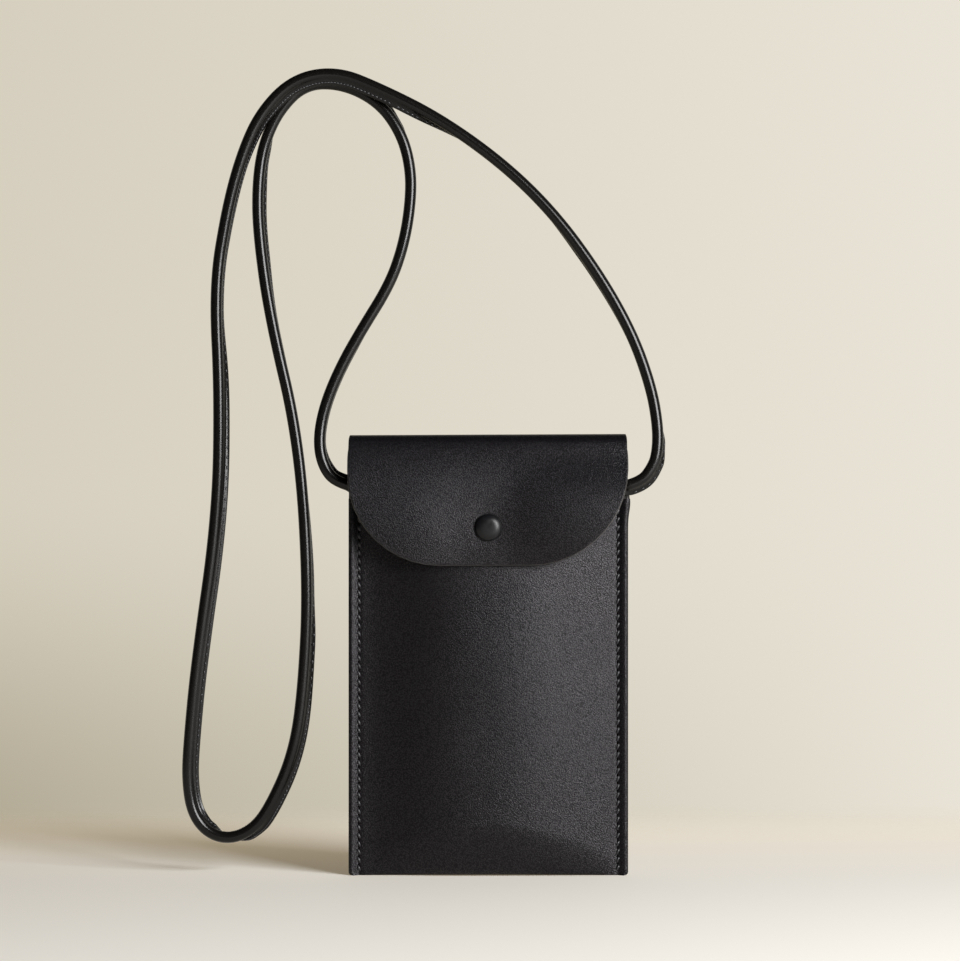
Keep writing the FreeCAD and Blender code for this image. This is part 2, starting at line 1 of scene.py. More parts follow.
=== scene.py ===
# %% [markdown]
# # A black leather phone pouch
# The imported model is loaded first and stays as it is. It gives the size and place
# of every piece, so each leather skin made below is fitted to it and nothing is
# measured twice. Everything is in metres: X to the right, the front towards -Y, Z up.

# %% Load the frame
import math

import bpy
from mathutils import Matrix, Vector, noise


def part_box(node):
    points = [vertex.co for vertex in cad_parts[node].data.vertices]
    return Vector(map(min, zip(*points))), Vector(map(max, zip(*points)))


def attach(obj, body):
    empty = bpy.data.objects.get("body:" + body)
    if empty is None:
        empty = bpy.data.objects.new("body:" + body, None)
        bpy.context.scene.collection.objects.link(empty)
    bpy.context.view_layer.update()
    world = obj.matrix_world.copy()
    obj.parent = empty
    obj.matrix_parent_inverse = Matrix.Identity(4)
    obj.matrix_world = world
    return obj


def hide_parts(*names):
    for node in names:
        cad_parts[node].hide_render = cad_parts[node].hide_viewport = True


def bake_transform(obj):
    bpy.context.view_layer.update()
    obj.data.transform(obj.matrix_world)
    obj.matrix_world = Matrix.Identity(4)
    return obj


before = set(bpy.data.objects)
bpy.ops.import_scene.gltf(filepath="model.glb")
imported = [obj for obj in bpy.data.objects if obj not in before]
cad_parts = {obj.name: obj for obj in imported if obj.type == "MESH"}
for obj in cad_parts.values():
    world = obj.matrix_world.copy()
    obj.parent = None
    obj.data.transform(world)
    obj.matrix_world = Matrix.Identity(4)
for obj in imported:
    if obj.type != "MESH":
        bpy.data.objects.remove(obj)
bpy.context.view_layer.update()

MM = 0.001

front_low, front_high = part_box("front_panel")
back_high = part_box("back_panel")[1]
fold_low, fold_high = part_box("top_fold")
flap_low, flap_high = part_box("flap")
cap_low, cap_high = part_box("snap_cap")

# %% [markdown]
# ## Camera
# The upright edges of the pouch are parallel in the photograph, so the camera is
# level and looks straight along +Y. A long lens far away gives the same flat view.
# The view is as wide as the pouch's known width makes it.

# %% Camera
SENSOR = 36.0
VIEW_WIDTH = 392.3 * MM
CAMERA_DISTANCE = 1.5
CAMERA_X = -3.4 * MM
CAMERA_Z = 161.0 * MM

bpy.ops.object.camera_add(
    location=(CAMERA_X, -CAMERA_DISTANCE, CAMERA_Z), rotation=(math.pi / 2, 0, 0))
camera = bpy.context.object
camera.data.sensor_width = SENSOR
camera.data.lens = SENSOR * CAMERA_DISTANCE / VIEW_WIDTH
bpy.context.scene.camera = camera
bpy.context.scene.view_settings.view_transform = "Standard"
print("lens", round(camera.data.lens, 1))

# %% [markdown]
# ## Strap route
# The strap is one narrow strip of leather rolled round a cord and sewn along its
# edge. Its middle line is a smooth curve through listed points: up on the left,
# over the top, down in a long loop, up again, over the first strand and down on the
# right. A NURBS spline is the natural tool, because it never kinks between points.

# %% Strap route
STRAP_ROUTE_MM = [
    (-57.97, -1.1, 159.4), (-62.73, -1.1, 160.95), (-66.8, -0.7, 166.0),
    (-69.0, -0.2, 173.6), (-68.7, 0.5, 183.0), (-65.8, 1.2, 194.5),
    (-60.0, 2.0, 208.0), (-52.5, 2.8, 221.5), (-40.3, 3.8, 241.2),
    (-34.8, 4.4, 257.0), (-32.0, 4.9, 273.0), (-31.6, 5.3, 288.0),
    (-35.4, 5.6, 303.0), (-44.6, 5.8, 316.0), (-59.5, 6.0, 323.6),
    (-75.0, 6.0, 323.6), (-86.0, 5.9, 312.6), (-92.4, 5.7, 298.0),
    (-94.6, 5.5, 281.5), (-94.2, 5.2, 262.0), (-89.5, 4.8, 228.0),
    (-77.6, 4.3, 178.0), (-73.6, 3.8, 118.0), (-76.0, 3.4, 72.0),
    (-80.2, 3.1, 47.5), (-90.0, 2.9, 26.0), (-97.2, 2.8, 17.6),
    (-106.6, 2.7, 14.3), (-115.4, 2.7, 17.4), (-121.2, 2.6, 25.6),
    (-123.1, 2.5, 39.0), (-122.4, 2.4, 54.0), (-119.4, 2.3, 86.0),
    (-110.8, 2.2, 146.0), (-109.8, 2.0, 196.0), (-112.0, 1.8, 240.0),
    (-107.0, 1.7, 271.0), (-101.2, 1.6, 293.0), (-93.4, 1.5, 311.0),
    (-79.8, 1.5, 325.0), (-62.0, 1.5, 328.2), (-44.0, 1.6, 321.0),
    (-20.0, 1.8, 309.0), (6.0, 2.1, 290.5), (27.0, 2.2, 270.0),
    (45.0, 2.0, 245.5), (58.6, 1.5, 221.5), (66.6, 0.8, 199.0),
    (69.4, 0.2, 182.0), (68.8, -0.3, 171.0), (66.4, -0.7, 165.6),
    (62.73, -1.1, 160.95), (57.97, -1.1, 159.4),
]
ROUTE_STEPS = 12

route = [Vector(point) * MM for point in STRAP_ROUTE_MM]
route_curve = bpy.data.curves.new("strap_route", "CURVE")
route_curve.dimensions = "3D"
spline = route_curve.splines.new("NURBS")
spline.points.add(len(route) - 1)
for point, place in zip(spline.points, route):
    point.co = (*place, 1.0)
spline.order_u = 3
spline.use_endpoint_u = True
route_curve.resolution_u = ROUTE_STEPS
route_object = bpy.data.objects.new("strap_route", route_curve)
bpy.context.collection.objects.link(route_object)
route_line = bpy.data.meshes.new_from_object(route_object)
strap_line = [vertex.co.copy() for vertex in route_line.vertices]
bpy.data.objects.remove(route_object)

strap_reach = [0.0]
for here, there in zip(strap_line, strap_line[1:]):
    strap_reach.append(strap_reach[-1] + (there - here).length)

# %% [markdown]
# ## Strap section
# Cut across, the strap is a round roll with a thin sewn lip, like a drop. A curve with
# a bevel object could carry one such section, but the ends have to be pressed flat. So
# the outline is a function that is told how flat it is.

# %% Strap section
STRAP_DIAMETER = 5.0 * MM
ROLL_RADIUS = 0.47 * STRAP_DIAMETER
ROLL_STEPS = 20
ROLL_START = 36.0
LIP_REACH = 4.5 * MM
LIP_HALF = 0.75 * MM
LIP_ROUND = 0.25 * MM
LIP_FOOT = 1.12
LIP_NECK = 1.32
TAB_THICKNESS = 2.2 * MM


def drop_outline(flat):
    """Outline of the strap, as lip direction and thickness; flat 1 is its pressed end."""
    points = []
    for step in range(ROLL_STEPS + 1):
        turn = math.radians(ROLL_START + step * (360 - 2 * ROLL_START) / ROLL_STEPS)
        points.append((ROLL_RADIUS * math.cos(turn), ROLL_RADIUS * math.sin(turn)))
    lip = [
        (LIP_FOOT * ROLL_RADIUS, LIP_FOOT * LIP_HALF), (LIP_NECK * ROLL_RADIUS, LIP_HALF),
        (LIP_REACH - LIP_ROUND, LIP_HALF), (LIP_REACH, LIP_HALF - LIP_ROUND)]
    points += [(across, -thick) for across, thick in lip]
    points += [(across, thick) for across, thick in reversed(lip)]
    middle = (LIP_REACH - ROLL_RADIUS) / 2
    thinned = 1 - flat * (1 - TAB_THICKNESS / (2 * ROLL_RADIUS))
    return [(across - flat * middle, thick * thinned) for across, thick in points]


print("points round the strap", len(drop_outline(0.0)))

# %% [markdown]
# ## Strap twist
# The lip turns as the strap goes. Mostly it lies behind the roll or at its right, so
# the front shows a round strap with its sewing only here and there. Each pair is a
# point of the route and the lip's turn there. Degrees are counted from the right hand
# of the way the strap runs, seen from the front, and 90 is behind.

# %% Strap twist
LIP_TURNS = [
    (0, 35), (1, 45), (3, 66), (6, 66), (8, 85), (9, 105), (11, 95), (12, 60), (13, 30), (14, 5),
    (15, 40), (16, 90), (17, 124), (18, 134), (19, 130), (20, 112), (21, 105), (22, 125),
    (22.5, 147), (23.5, 165), (25, 182), (26, 150), (27, 90), (28, 35), (29, 8), (32, 0), (33, 8),
    (34, 22), (35, 58), (37, 52), (38, 40), (39, 15), (40, 2), (41.5, 2), (43, 82), (44, 75),
    (45, 62), (47, 72), (48, 95), (49, 130), (50, 150), (51, 158), (52, 160),
]


def ease(share):
    """From 0 to 1 with a level start and a level end."""
    share = min(max(share, 0.0), 1.0)
    return share * share * (3 - 2 * share)


def lip_turn(position):
    """Degrees of the lip at a position counted in points of the route."""
    for (first, start), (last, end) in zip(LIP_TURNS, LIP_TURNS[1:]):
        if position <= last:
            share = (position - first) / (last - first)
            return start + (end - start) * ease(share)
    return LIP_TURNS[-1][1]


def strap_axes(index):
    """Where the strap runs at one point of its line, the lip's direction and the third axis."""
    before = strap_line[max(index - 1, 0)]
    after = strap_line[min(index + 1, len(strap_line) - 1)]
    along = (after - before).normalized()
    right = Vector((0, 1, 0)).cross(along).normalized()
    behind = along.cross(right)
    position = index * (len(route) - 1) / (len(strap_line) - 1)
    turn = math.radians(lip_turn(position))
    lip = math.cos(turn) * right + math.sin(turn) * behind
    return along, lip, along.cross(lip)


print("lip turns", len(LIP_TURNS), "first", lip_turn(0), "last", lip_turn(len(route) - 1))

# %% [markdown]
# ## Rolled strap
# The outline is set across the line at every point, turned with the lip, and a skin is
# drawn over all these rings. That follows the twist exactly, which a bevelled curve
# with tilted points would only come near to.

# %% Rolled strap
def show(name, mesh):
    """Put a mesh into the scene as a piece of its own."""
    piece = bpy.data.objects.new(name, mesh)
    bpy.context.collection.objects.link(piece)
    return piece


def choose(piece):
    """Select one piece alone and make it the active one."""
    bpy.ops.object.select_all(action="DESELECT")
    piece.select_set(True)
    bpy.context.view_layer.objects.active = piece


def skin(name, rings):
    """A closed tube through rings of points."""
    count = len(rings[0])
    faces = []
    for ring in range(len(rings) - 1):
        for step in range(count):
            ahead = (step + 1) % count
            faces.append((
                ring * count + step, ring * count + ahead,
                (ring + 1) * count + ahead, (ring + 1) * count + step))
    faces.append(tuple(reversed(range(count))))
    faces.append(tuple(range((len(rings) - 1) * count, len(rings) * count)))
    mesh = bpy.data.meshes.new(name)
    mesh.from_pydata([point for ring in rings for point in ring], [], faces)
    mesh.update()
    return show(name, mesh)


def smooth(piece, degrees):
    """Smooth shading that keeps the edges sharper than the given angle."""
    choose(piece)
    bpy.ops.object.shade_smooth_by_angle(angle=math.radians(degrees))


def face_out(piece):
    """Point all the faces of a closed piece outwards."""
    choose(piece)
    bpy.ops.object.mode_set(mode="EDIT")
    bpy.ops.mesh.select_all(action="SELECT")
    bpy.ops.mesh.normals_make_consistent(inside=False)
    bpy.ops.object.mode_set(mode="OBJECT")


strap_rings = []
for index, place in enumerate(strap_line):
    along, lip, third = strap_axes(index)
    strap_rings.append([place + lip * across + third * thick for across, thick in drop_outline(0.0)])
strap = skin("rolled_strap", strap_rings)
face_out(strap)
smooth(strap, degrees=50)
print("strap faces", len(strap.data.polygons))

# %% [markdown]
# ## Strap ends
# Inside the pouch each end of the strap is pressed flat, so that it can be sewn to
# the back. A scaled box would leave a step where it joins. Here the end starts with the
# same drop as the strap, flattens and turns level on its way in, and narrows at its tip.

# %% Strap ends
TAB_LENGTH = 9.0 * MM
TAB_STEPS = 12
TIP_START = 0.8
TIP_NARROWING = 0.35

tabs = []
for name, index, inward in (("left", 0, -1), ("right", len(strap_line) - 1, 1)):
    along, lip, third = strap_axes(index)
    lean = math.remainder(LIP_TURNS[0 if index == 0 else -1][1], 180)
    rings = []
    for step in range(TAB_STEPS + 1):
        share = step / TAB_STEPS
        flat = ease(2 * share)
        tip = 1 - TIP_NARROWING * max(0.0, (share - TIP_START) / (1 - TIP_START)) ** 2
        turn = Matrix.Rotation(-math.radians(lean) * flat, 3, along)
        place = strap_line[index] + along * inward * TAB_LENGTH * share
        rings.append([
            place + turn @ (lip * across * tip + third * thick)
            for across, thick in drop_outline(flat)])
    tab = skin(f"{name}_strap_end", rings)
    face_out(tab)
    smooth(tab, degrees=50)
    tabs.append(tab)
print("strap ends", [tab.name for tab in tabs], "length", TAB_LENGTH)

# %% [markdown]
# ## The hide
# Front, bottom, back and flap are one hide. It is cut flat, wrapped up the front,
# under the bottom, up the back and over the top. Here it is two grids that meet
# under the bottom: the front, which stays still, and the back with the flap. A grid
# is added flat and every row of it is then carried to its place, as the leather is.
# Cloth simulation could drape it, but stiff sewn leather keeps a set form, so formulas
# say where each point lies.
#
# Across, the front falls round to its left seam and almost straight to its right one.
# The back is a shallow arc with a rounder fall at each side. At the seams the thread
# draws the leather in, and outside it the margin rises to a ridge and rounds off.

# %% Section of the panels
LEATHER = 1.6 * MM
CROWN_SHARE = 0.15
SIDE_CURVE = 20.2 * MM
SIDE_POWER = 1.5
KNEE = 0.5
SEAM_LAND = 4.8 * MM
STITCH_INSET = 4.2 * MM
GROOVE_DEPTH = 0.35 * MM
GROOVE_WIDTH = 1.0 * MM
MARGIN_CURL = 1.0 * MM
MARGIN_RIDGE = 3.0 * MM
EDGE_DROP = 0.9 * MM

half_width = front_high.x
seam_start = half_width - SEAM_LAND
shoulder = seam_start - SIDE_CURVE
stitch_x = half_width - STITCH_INSET


def front_share(x, rise):
    """Share of the front's rise at x, the same for every rise."""
    across = min(abs(x) / seam_start, 1.0)
    if x > 0:
        fall = across - KNEE / 2 if across > KNEE else across ** 2 / (2 * KNEE)
        return 1 - fall / (1 - KNEE / 2)
    return (1 - CROWN_SHARE * across ** 2) * math.cos(math.pi / 2 * across ** SIDE_POWER) ** 2


def back_share(x, rise):
    """Share of the back's rise at x: one arc between the shoulders, a rounder one outside."""
    if abs(x) < shoulder:
        return 1 - CROWN_SHARE * (x / shoulder) ** 2
    crown = CROWN_SHARE * rise
    drop = rise - crown
    start = 2 * math.atan(crown / shoulder)
    chord = math.hypot(SIDE_CURVE, drop)
    radius = chord / (2 * math.sin(math.atan(drop / SIDE_CURVE) - start))
    across = min(abs(x), seam_start) - shoulder
    turn = math.asin(math.sin(start) + across / radius)
    return (drop + radius * (math.cos(turn) - math.cos(start))) / rise


def margin(x):
    """The stitches draw the leather in; outside them it rises to a ridge and rounds off."""
    off_line = abs(x) - stitch_x
    groove = -GROOVE_DEPTH * math.exp(-(off_line / GROOVE_WIDTH) ** 2)
    rounding = max(0.0, (off_line - MARGIN_RIDGE) / (STITCH_INSET - MARGIN_RIDGE))
    return groove + MARGIN_CURL * ease(off_line / MARGIN_RIDGE) - EDGE_DROP * rounding ** 2


shares = [share(shoulder, back_high.y - LEATHER) for share in (front_share, back_share)]
print("share of the rise at the shoulder, front and back", [round(share, 2) for share in shares])

# %% [markdown]
# ## Panels and bottom
# Upwards, each panel is fullest at WIDEST_Z. At the foot it rounds in to the bottom,
# higher in the middle than at the corners, so the end of the pouch looks like a pillow.
# A little noise keeps the leather from looking machined.

# %% Panels and bottom
CORNER_ROUND = 1.4 * MM
MOUTH_FLARE = 0.9 * MM
FLARE_Z = 152.0 * MM
FLARE_REACH = 5.0 * MM
BASE_LIFT = 0.5 * MM
CORNER_FOOT = 0.3
FOOT_RISE = 1.3
FOOT_POWER = 1.35
FOOT_ROUND = 1.2 * MM
WIDEST_Z = 70.0 * MM
UNEVEN = 0.35 * MM
UNEVEN_SPAN = 38.0 * MM

base_height = front_low.z
mouth_z = front_high.z
FRONT = {
    "side": -1, "foot": 5.2 * MM, "low": 10.6 * MM, "widest": -front_low.y,
    "high": 9.0 * MM, "high_z": mouth_z, "seed": 1.0, "share": front_share}
BACK = {
    "side": 1, "foot": 4.8 * MM, "low": 8.4 * MM, "widest": back_high.y,
    "high": 8.2 * MM, "high_z": 164.0 * MM, "seed": 7.0, "share": back_share}


def panel_crown(panel, z):
    """How far a panel stands out at its middle."""
    if z < WIDEST_Z:
        fall = panel["widest"] - panel["low"]
        return panel["widest"] - fall * ((WIDEST_Z - z) / (WIDEST_Z - base_height)) ** 2
    fall = panel["widest"] - panel["high"]
    return panel["widest"] - fall * ((z - WIDEST_Z) / (panel["high_z"] - WIDEST_Z)) ** 2


def standing(panel, x, crown, z):
    """Distance of the outer face from the seam plane."""
    share = panel["share"](x, crown - LEATHER)
    uneven = noise.noise(Vector((x / UNEVEN_SPAN, z / UNEVEN_SPAN, panel["seed"])))
    return LEATHER + (crown - LEATHER) * share + margin(x) + UNEVEN * uneven * share


def side_shift(x, z):
    """The bottom corners are rounded, and the strap's end spreads the right mouth corner."""
    outer = max(0.0, (abs(x) - seam_start) / SEAM_LAND)
    short = max(0.0, CORNER_ROUND - z)
    inset = CORNER_ROUND - math.sqrt(CORNER_ROUND ** 2 - short ** 2)
    flare = MOUTH_FLARE * math.exp(-((z - FLARE_Z) / FLARE_REACH) ** 2) if x > 0 else 0.0
    return outer * (flare - inset) * (1 if x > 0 else -1)


def panel_place(panel, x, row):
    """A point of a panel, or of the bottom that it turns under into."""
    kind, value = row
    arch = 1 - min(abs(x) / seam_start, 1.0) ** 2
    foot_height = FOOT_RISE * base_height * (CORNER_FOOT + (1 - CORNER_FOOT) * arch)
    if kind == "panel":
        stretch = (mouth_z - foot_height) / (mouth_z - base_height)
        z = value if value > mouth_z else mouth_z - (mouth_z - value) * stretch
        out = standing(panel, x, panel_crown(panel, z), z)
    else:
        turn = math.radians(value) if kind == "round" else 0.0
        z = (1 - math.cos(turn)) * foot_height
        under = math.cos(turn) ** FOOT_POWER
        crown = panel["low"] - under * (panel["low"] - panel["foot"])
        crown -= FOOT_ROUND * math.exp(-z / FOOT_ROUND)
        out = standing(panel, x, crown, z)
        z += BASE_LIFT * math.cos(turn) * (1 - (x / half_width) ** 2)
        if kind == "bottom":
            out *= value
    return Vector((x + side_shift(x, max(z, 0.0)), panel["side"] * out, z))


print("crown of the front at its widest", round(panel_crown(FRONT, WIDEST_Z) / MM, 2))

# %% [markdown]
# ## Cutting and thickening leather
# A grid is added flat, one unit wide. Each of its points knows its column and its row
# by where it lies, and is carried to its place. Solidify then gives the sheet its
# thickness, with one finish outside, one inside and one on the cut edge, and Bevel
# rounds the cut edge as the maker's tool does.

# %% Cutting and thickening leather
EDGE_ROUND = 0.45 * MM
EDGE_STEPS = 3
EDGE_ANGLE = 60.0


def columns_across(width, margin_width, margin_steps, middle_steps):
    """Places across a sheet, closer together in its margins."""
    inner = width - margin_width
    left = [-width + margin_width * step / margin_steps for step in range(margin_steps)]
    middle = [-inner + 2 * inner * step / middle_steps for step in range(middle_steps + 1)]
    return left + middle + [-x for x in reversed(left)]


def carry(name, columns, rows, place):
    """Add a flat grid and carry each of its points to where place says."""
    bpy.ops.object.select_all(action="DESELECT")
    bpy.ops.mesh.primitive_grid_add(
        x_subdivisions=len(columns) - 1, y_subdivisions=len(rows) - 1, size=1)
    sheet = bpy.context.object
    sheet.name = name
    for vertex in sheet.data.vertices:
        column = round((vertex.co.x + 0.5) * (len(columns) - 1))
        row = round((vertex.co.y + 0.5) * (len(rows) - 1))
        vertex.co = place(columns[column], rows[row])
    sheet.data.update()
    return sheet


def apply_modifier(piece, kind, settings):
    """Add one modifier, set it up and apply it."""
    choose(piece)
    modifier = piece.modifiers.new(kind.lower(), kind)
    for name, value in settings.items():
        setattr(modifier, name, value)
    bpy.ops.object.modifier_apply(modifier=modifier.name)


def thicken(sheet, thickness, finishes):
    """Give a sheet its thickness and a rounded edge: outside, inside and edge finish."""
    for finish in finishes:
        sheet.data.materials.append(finish)
    apply_modifier(sheet, "SOLIDIFY", {
        "thickness": thickness, "offset": -1.0,
        "material_offset": 1, "material_offset_rim": 2})
    apply_modifier(sheet, "BEVEL", {
        "width": EDGE_ROUND, "segments": EDGE_STEPS, "limit_method": "ANGLE",
        "angle_limit": math.radians(EDGE_ANGLE), "use_clamp_overlap": True, "material": 2})
    smooth(sheet, degrees=40)


print("leather", LEATHER / MM, "mm, edge rounded by up to", EDGE_ROUND / MM, "mm")

# %% [markdown]
# ## Finishes
# One function turns a colour as it is seen on a screen into the linear values that
# the shader works with, and one adds a node with its settings and links. A third
# starts a material, because every one here begins with the same few sockets.

# %% Colour and node helpers
def linear(code):
    """A colour written as sRGB hex, as linear red, green, blue and alpha."""
    parts = [int(code[place:place + 2], 16) / 255 for place in (1, 3, 5)]
    return tuple(
        part / 12.92 if part <= 0.04045 else ((part + 0.055) / 1.055) ** 2.4
        for part in parts) + (1.0,)


def add_node(tree, kind, settings, inputs):
    """Add a node; an input is either a value or the socket that feeds it."""
    made = tree.nodes.new(kind)
    for name, value in settings.items():
        setattr(made, name, value)
    for name, value in inputs.items():
        if isinstance(value, bpy.types.NodeSocket):
            tree.links.new(value, made.inputs[name])
        else:
            made.inputs[name].default_value = value
    return made


def new_finish(name, colour, roughness, settings):
    """A material with its constant values on the shader, and its object coordinates."""
    material = bpy.data.materials.new(name)
    material.use_nodes = True
    tree = material.node_tree
    shader = tree.nodes["Principled BSDF"]
    shader.inputs["Base Color"].default_value = linear(colour)
    shader.inputs["Roughness"].default_value = roughness
    for socket, value in settings.items():
        shader.inputs[socket].default_value = value
    place = add_node(tree, "ShaderNodeTexCoord", {}, {}).outputs["Object"]
    return material, tree, shader, place


print("mid grey in linear light", round(linear("#808080")[0], 3))

# %% [markdown]
# ### Black full-grain leather
# Aniline-dyed black calf. The eye sees fine pebbles with shallow creases between them,
# a soft sheen, and broad patches that are a little duller. The creases shine less, which
# shows the grain better than bump alone. The pebbles are half a millimetre across,
# slightly coarser than life, so that they show in the picture.

# %% Black full-grain leather
PEBBLE = 0.5 * MM
PORE = 0.42 * MM
PATCH = 26.0 * MM

full_grain, tree, shader, place = new_finish(
    "black_full_grain_leather", "#0c0b0d", 0.35, {
        "IOR": 1.5, "Specular IOR Level": 0.25, "Specular Tint": linear("#fffbff")})
pebbles = add_node(tree, "ShaderNodeTexVoronoi", {"feature": "SMOOTH_F1"}, {
    "Vector": place, "Scale": 1 / PEBBLE, "Smoothness": 0.6, "Randomness": 1.0})
pores = add_node(tree, "ShaderNodeTexNoise", {}, {
    "Vector": place, "Scale": 1 / PORE, "Detail": 2.0, "Roughness": 0.6})
patches = add_node(tree, "ShaderNodeTexNoise", {}, {
    "Vector": place, "Scale": 1 / PATCH, "Detail": 3.0, "Roughness": 0.55})
dulling = add_node(tree, "ShaderNodeMapRange", {}, {
    "Value": patches.outputs["Fac"], "From Min": 0.3, "From Max": 0.7,
    "To Min": 0.31, "To Max": 0.39})
tree.links.new(dulling.outputs["Result"], shader.inputs["Roughness"])
creases = add_node(tree, "ShaderNodeMapRange", {}, {
    "Value": pebbles.outputs["Distance"], "From Min": 0.15, "From Max": 0.6,
    "To Min": 0.44, "To Max": 0.14})
tree.links.new(creases.outputs["Result"], shader.inputs["Specular IOR Level"])
pore_bump = add_node(tree, "ShaderNodeBump", {}, {
    "Height": pores.outputs["Fac"], "Strength": 0.8, "Distance": 0.2 * MM})
pebble_bump = add_node(tree, "ShaderNodeBump", {"invert": True}, {
    "Height": pebbles.outputs["Distance"], "Strength": 0.6, "Distance": 0.14 * MM,
    "Normal": pore_bump.outputs["Normal"]})
tree.links.new(pebble_bump.outputs["Normal"], shader.inputs["Normal"])
print("finish", full_grain.name, "pebbles", PEBBLE / MM, "mm")

# %% [markdown]
# ### Strap leather
# The strap is cut from a thinner, smoother skin that is polished as it is rolled.
# It shows long narrow highlights and hardly any grain.

# %% Strap leather
STRAP_GRAIN = 0.7 * MM

strap_skin, tree, shader, place = new_finish(
    "polished_strap_leather", "#0d0c0b", 0.2, {"IOR": 1.5, "Specular IOR Level": 0.26})
grain = add_node(tree, "ShaderNodeTexNoise", {}, {
    "Vector": place, "Scale": 1 / STRAP_GRAIN, "Detail": 3.0, "Roughness": 0.6})
wear = add_node(tree, "ShaderNodeMapRange", {}, {
    "Value": grain.outputs["Fac"], "From Min": 0.3, "From Max": 0.7, "To Min": 0.16, "To Max": 0.26})
tree.links.new(wear.outputs["Result"], shader.inputs["Roughness"])
grain_bump = add_node(tree, "ShaderNodeBump", {}, {
    "Height": grain.outputs["Fac"], "Strength": 0.2, "Distance": 0.08 * MM})
tree.links.new(grain_bump.outputs["Normal"], shader.inputs["Normal"])
print("finish", strap_skin.name, "grain", STRAP_GRAIN / MM, "mm")

# %% [markdown]
# ### Edge paint
# Cut edges are sealed with black acrylic edge paint. It is brushed on in coats, so it
# is smooth and slightly glossy with a faint ripple.

# %% Edge paint
PAINT_RIPPLE = 1.6 * MM

edge_paint, tree, shader, place = new_finish(
    "black_edge_paint", "#2b2928", 0.38, {"IOR": 1.48})
ripple = add_node(tree, "ShaderNodeTexNoise", {}, {
    "Vector": place, "Scale": 1 / PAINT_RIPPLE, "Detail": 2.0})
ripple_bump = add_node(tree, "ShaderNodeBump", {}, {
    "Height": ripple.outputs["Fac"], "Strength": 0.3, "Distance": 0.1 * MM})
tree.links.new(ripple_bump.outputs["Normal"], shader.inputs["Normal"])
print("finish", edge_paint.name, "ripple", PAINT_RIPPLE / MM, "mm")

# %% [markdown]
# ### Flesh side
# The inside of the hide is its flesh side, a short soft nap without shine. Two dark
# tones mixed by noise stand for the lie of the fibres. The suede lining wears it too.

# %% Flesh side
NAP = 0.45 * MM

flesh_side, tree, shader, place = new_finish(
    "black_flesh_side", "#1a1817", 0.85, {"IOR": 1.45, "Sheen Weight": 0.1, "Sheen Roughness": 0.5})
nap = add_node(tree, "ShaderNodeTexNoise", {}, {
    "Vector": place, "Scale": 1 / NAP, "Detail": 4.0, "Roughness": 0.7})
nap_colour = add_node(tree, "ShaderNodeMix", {"data_type": "RGBA"}, {
    "Factor": nap.outputs["Fac"], 6: linear("#131211"), 7: linear("#24211f")})
tree.links.new(nap_colour.outputs[2], shader.inputs["Base Color"])
nap_bump = add_node(tree, "ShaderNodeBump", {}, {
    "Height": nap.outputs["Fac"], "Strength": 0.5, "Distance": 0.15 * MM})
tree.links.new(nap_bump.outputs["Normal"], shader.inputs["Normal"])
print("finish", flesh_side.name, "nap", NAP / MM, "mm")

# %% [markdown]
# ### Waxed thread and the painted shade of needle holes
# The thread is black waxed polyester, which catches the light on each stitch. Bands on
# the slant stand for its plies. The shade inside a needle hole is painted: a dull, nearly
# black finish that reflects almost nothing.

# %% Waxed thread and the painted shade of needle holes
PLY = 0.3 * MM
WAVE_BANDS = 20

waxed_thread, tree, shader, place = new_finish(
    "black_waxed_thread", "#1e1d20", 0.36, {"IOR": 1.5})
plies = add_node(tree, "ShaderNodeTexWave", {"bands_direction": "DIAGONAL"}, {
    "Vector": place, "Scale": 1 / PLY / WAVE_BANDS, "Distortion": 1.0})
ply_bump = add_node(tree, "ShaderNodeBump", {}, {
    "Height": plies.outputs["Fac"], "Strength": 0.3, "Distance": 0.08 * MM})
tree.links.new(ply_bump.outputs["Normal"], shader.inputs["Normal"])

# Painted shade: a nearly black, almost unreflecting finish for the inside of the needle holes.
hole_painted_shade = new_finish(
    "needle_hole_painted_shade", "#060505", 0.9, {"IOR": 1.4, "Specular IOR Level": 0.05})[0]
print("finishes", waxed_thread.name, hole_painted_shade.name)

# %% [markdown]
# ## Front and bottom
# This grid starts under the bottom, rounds the foot and goes up to the mouth. The seam
# margins get close columns, because their groove and ridge are small. Where the stud is
# riveted on, the leather is drawn in a little.

# %% Front and bottom
ROW_STEP = 1.1 * MM
BASE_TURNS = (0, 15, 27, 38, 48, 57, 66, 74, 82)
MARGIN_WIDTH = SEAM_LAND + 2 * MM
MARGIN_STEPS = 14
MIDDLE_STEPS = 64
STUD_DIMPLE = 0.25 * MM
STUD_REACH = 5.0 * MM

snap_x = (cap_low.x + cap_high.x) / 2
snap_z = (cap_low.z + cap_high.z) / 2
cap_radius = (cap_high.x - cap_low.x) / 2


def rows_between(kind, start, end, step):
    """Evenly spaced rows from start up to, but not including, end."""
    count = max(1, round(abs(end - start) / step))
    return [(kind, start + (end - start) * index / count) for index in range(count)]


bottom_rows = [("bottom", 0.0), ("bottom", 0.5)] + [("round", turn) for turn in BASE_TURNS]
columns = columns_across(half_width, MARGIN_WIDTH, MARGIN_STEPS, MIDDLE_STEPS)
front_rows = bottom_rows + rows_between("panel", base_height, mouth_z, ROW_STEP)
front_rows.append(("panel", mouth_z))


def front_place(x, row):
    """The front panel, drawn in a little where the stud is riveted to it."""
    place = panel_place(FRONT, x, row)
    off_snap = math.hypot(place.x - snap_x, place.z - snap_z) / STUD_REACH
    place.y += STUD_DIMPLE * math.exp(-off_snap ** 4)
    return place


front = carry("front_and_bottom", columns, front_rows, front_place)
thicken(front, LEATHER, (full_grain, flesh_side, edge_paint))
print("front faces", len(front.data.polygons))

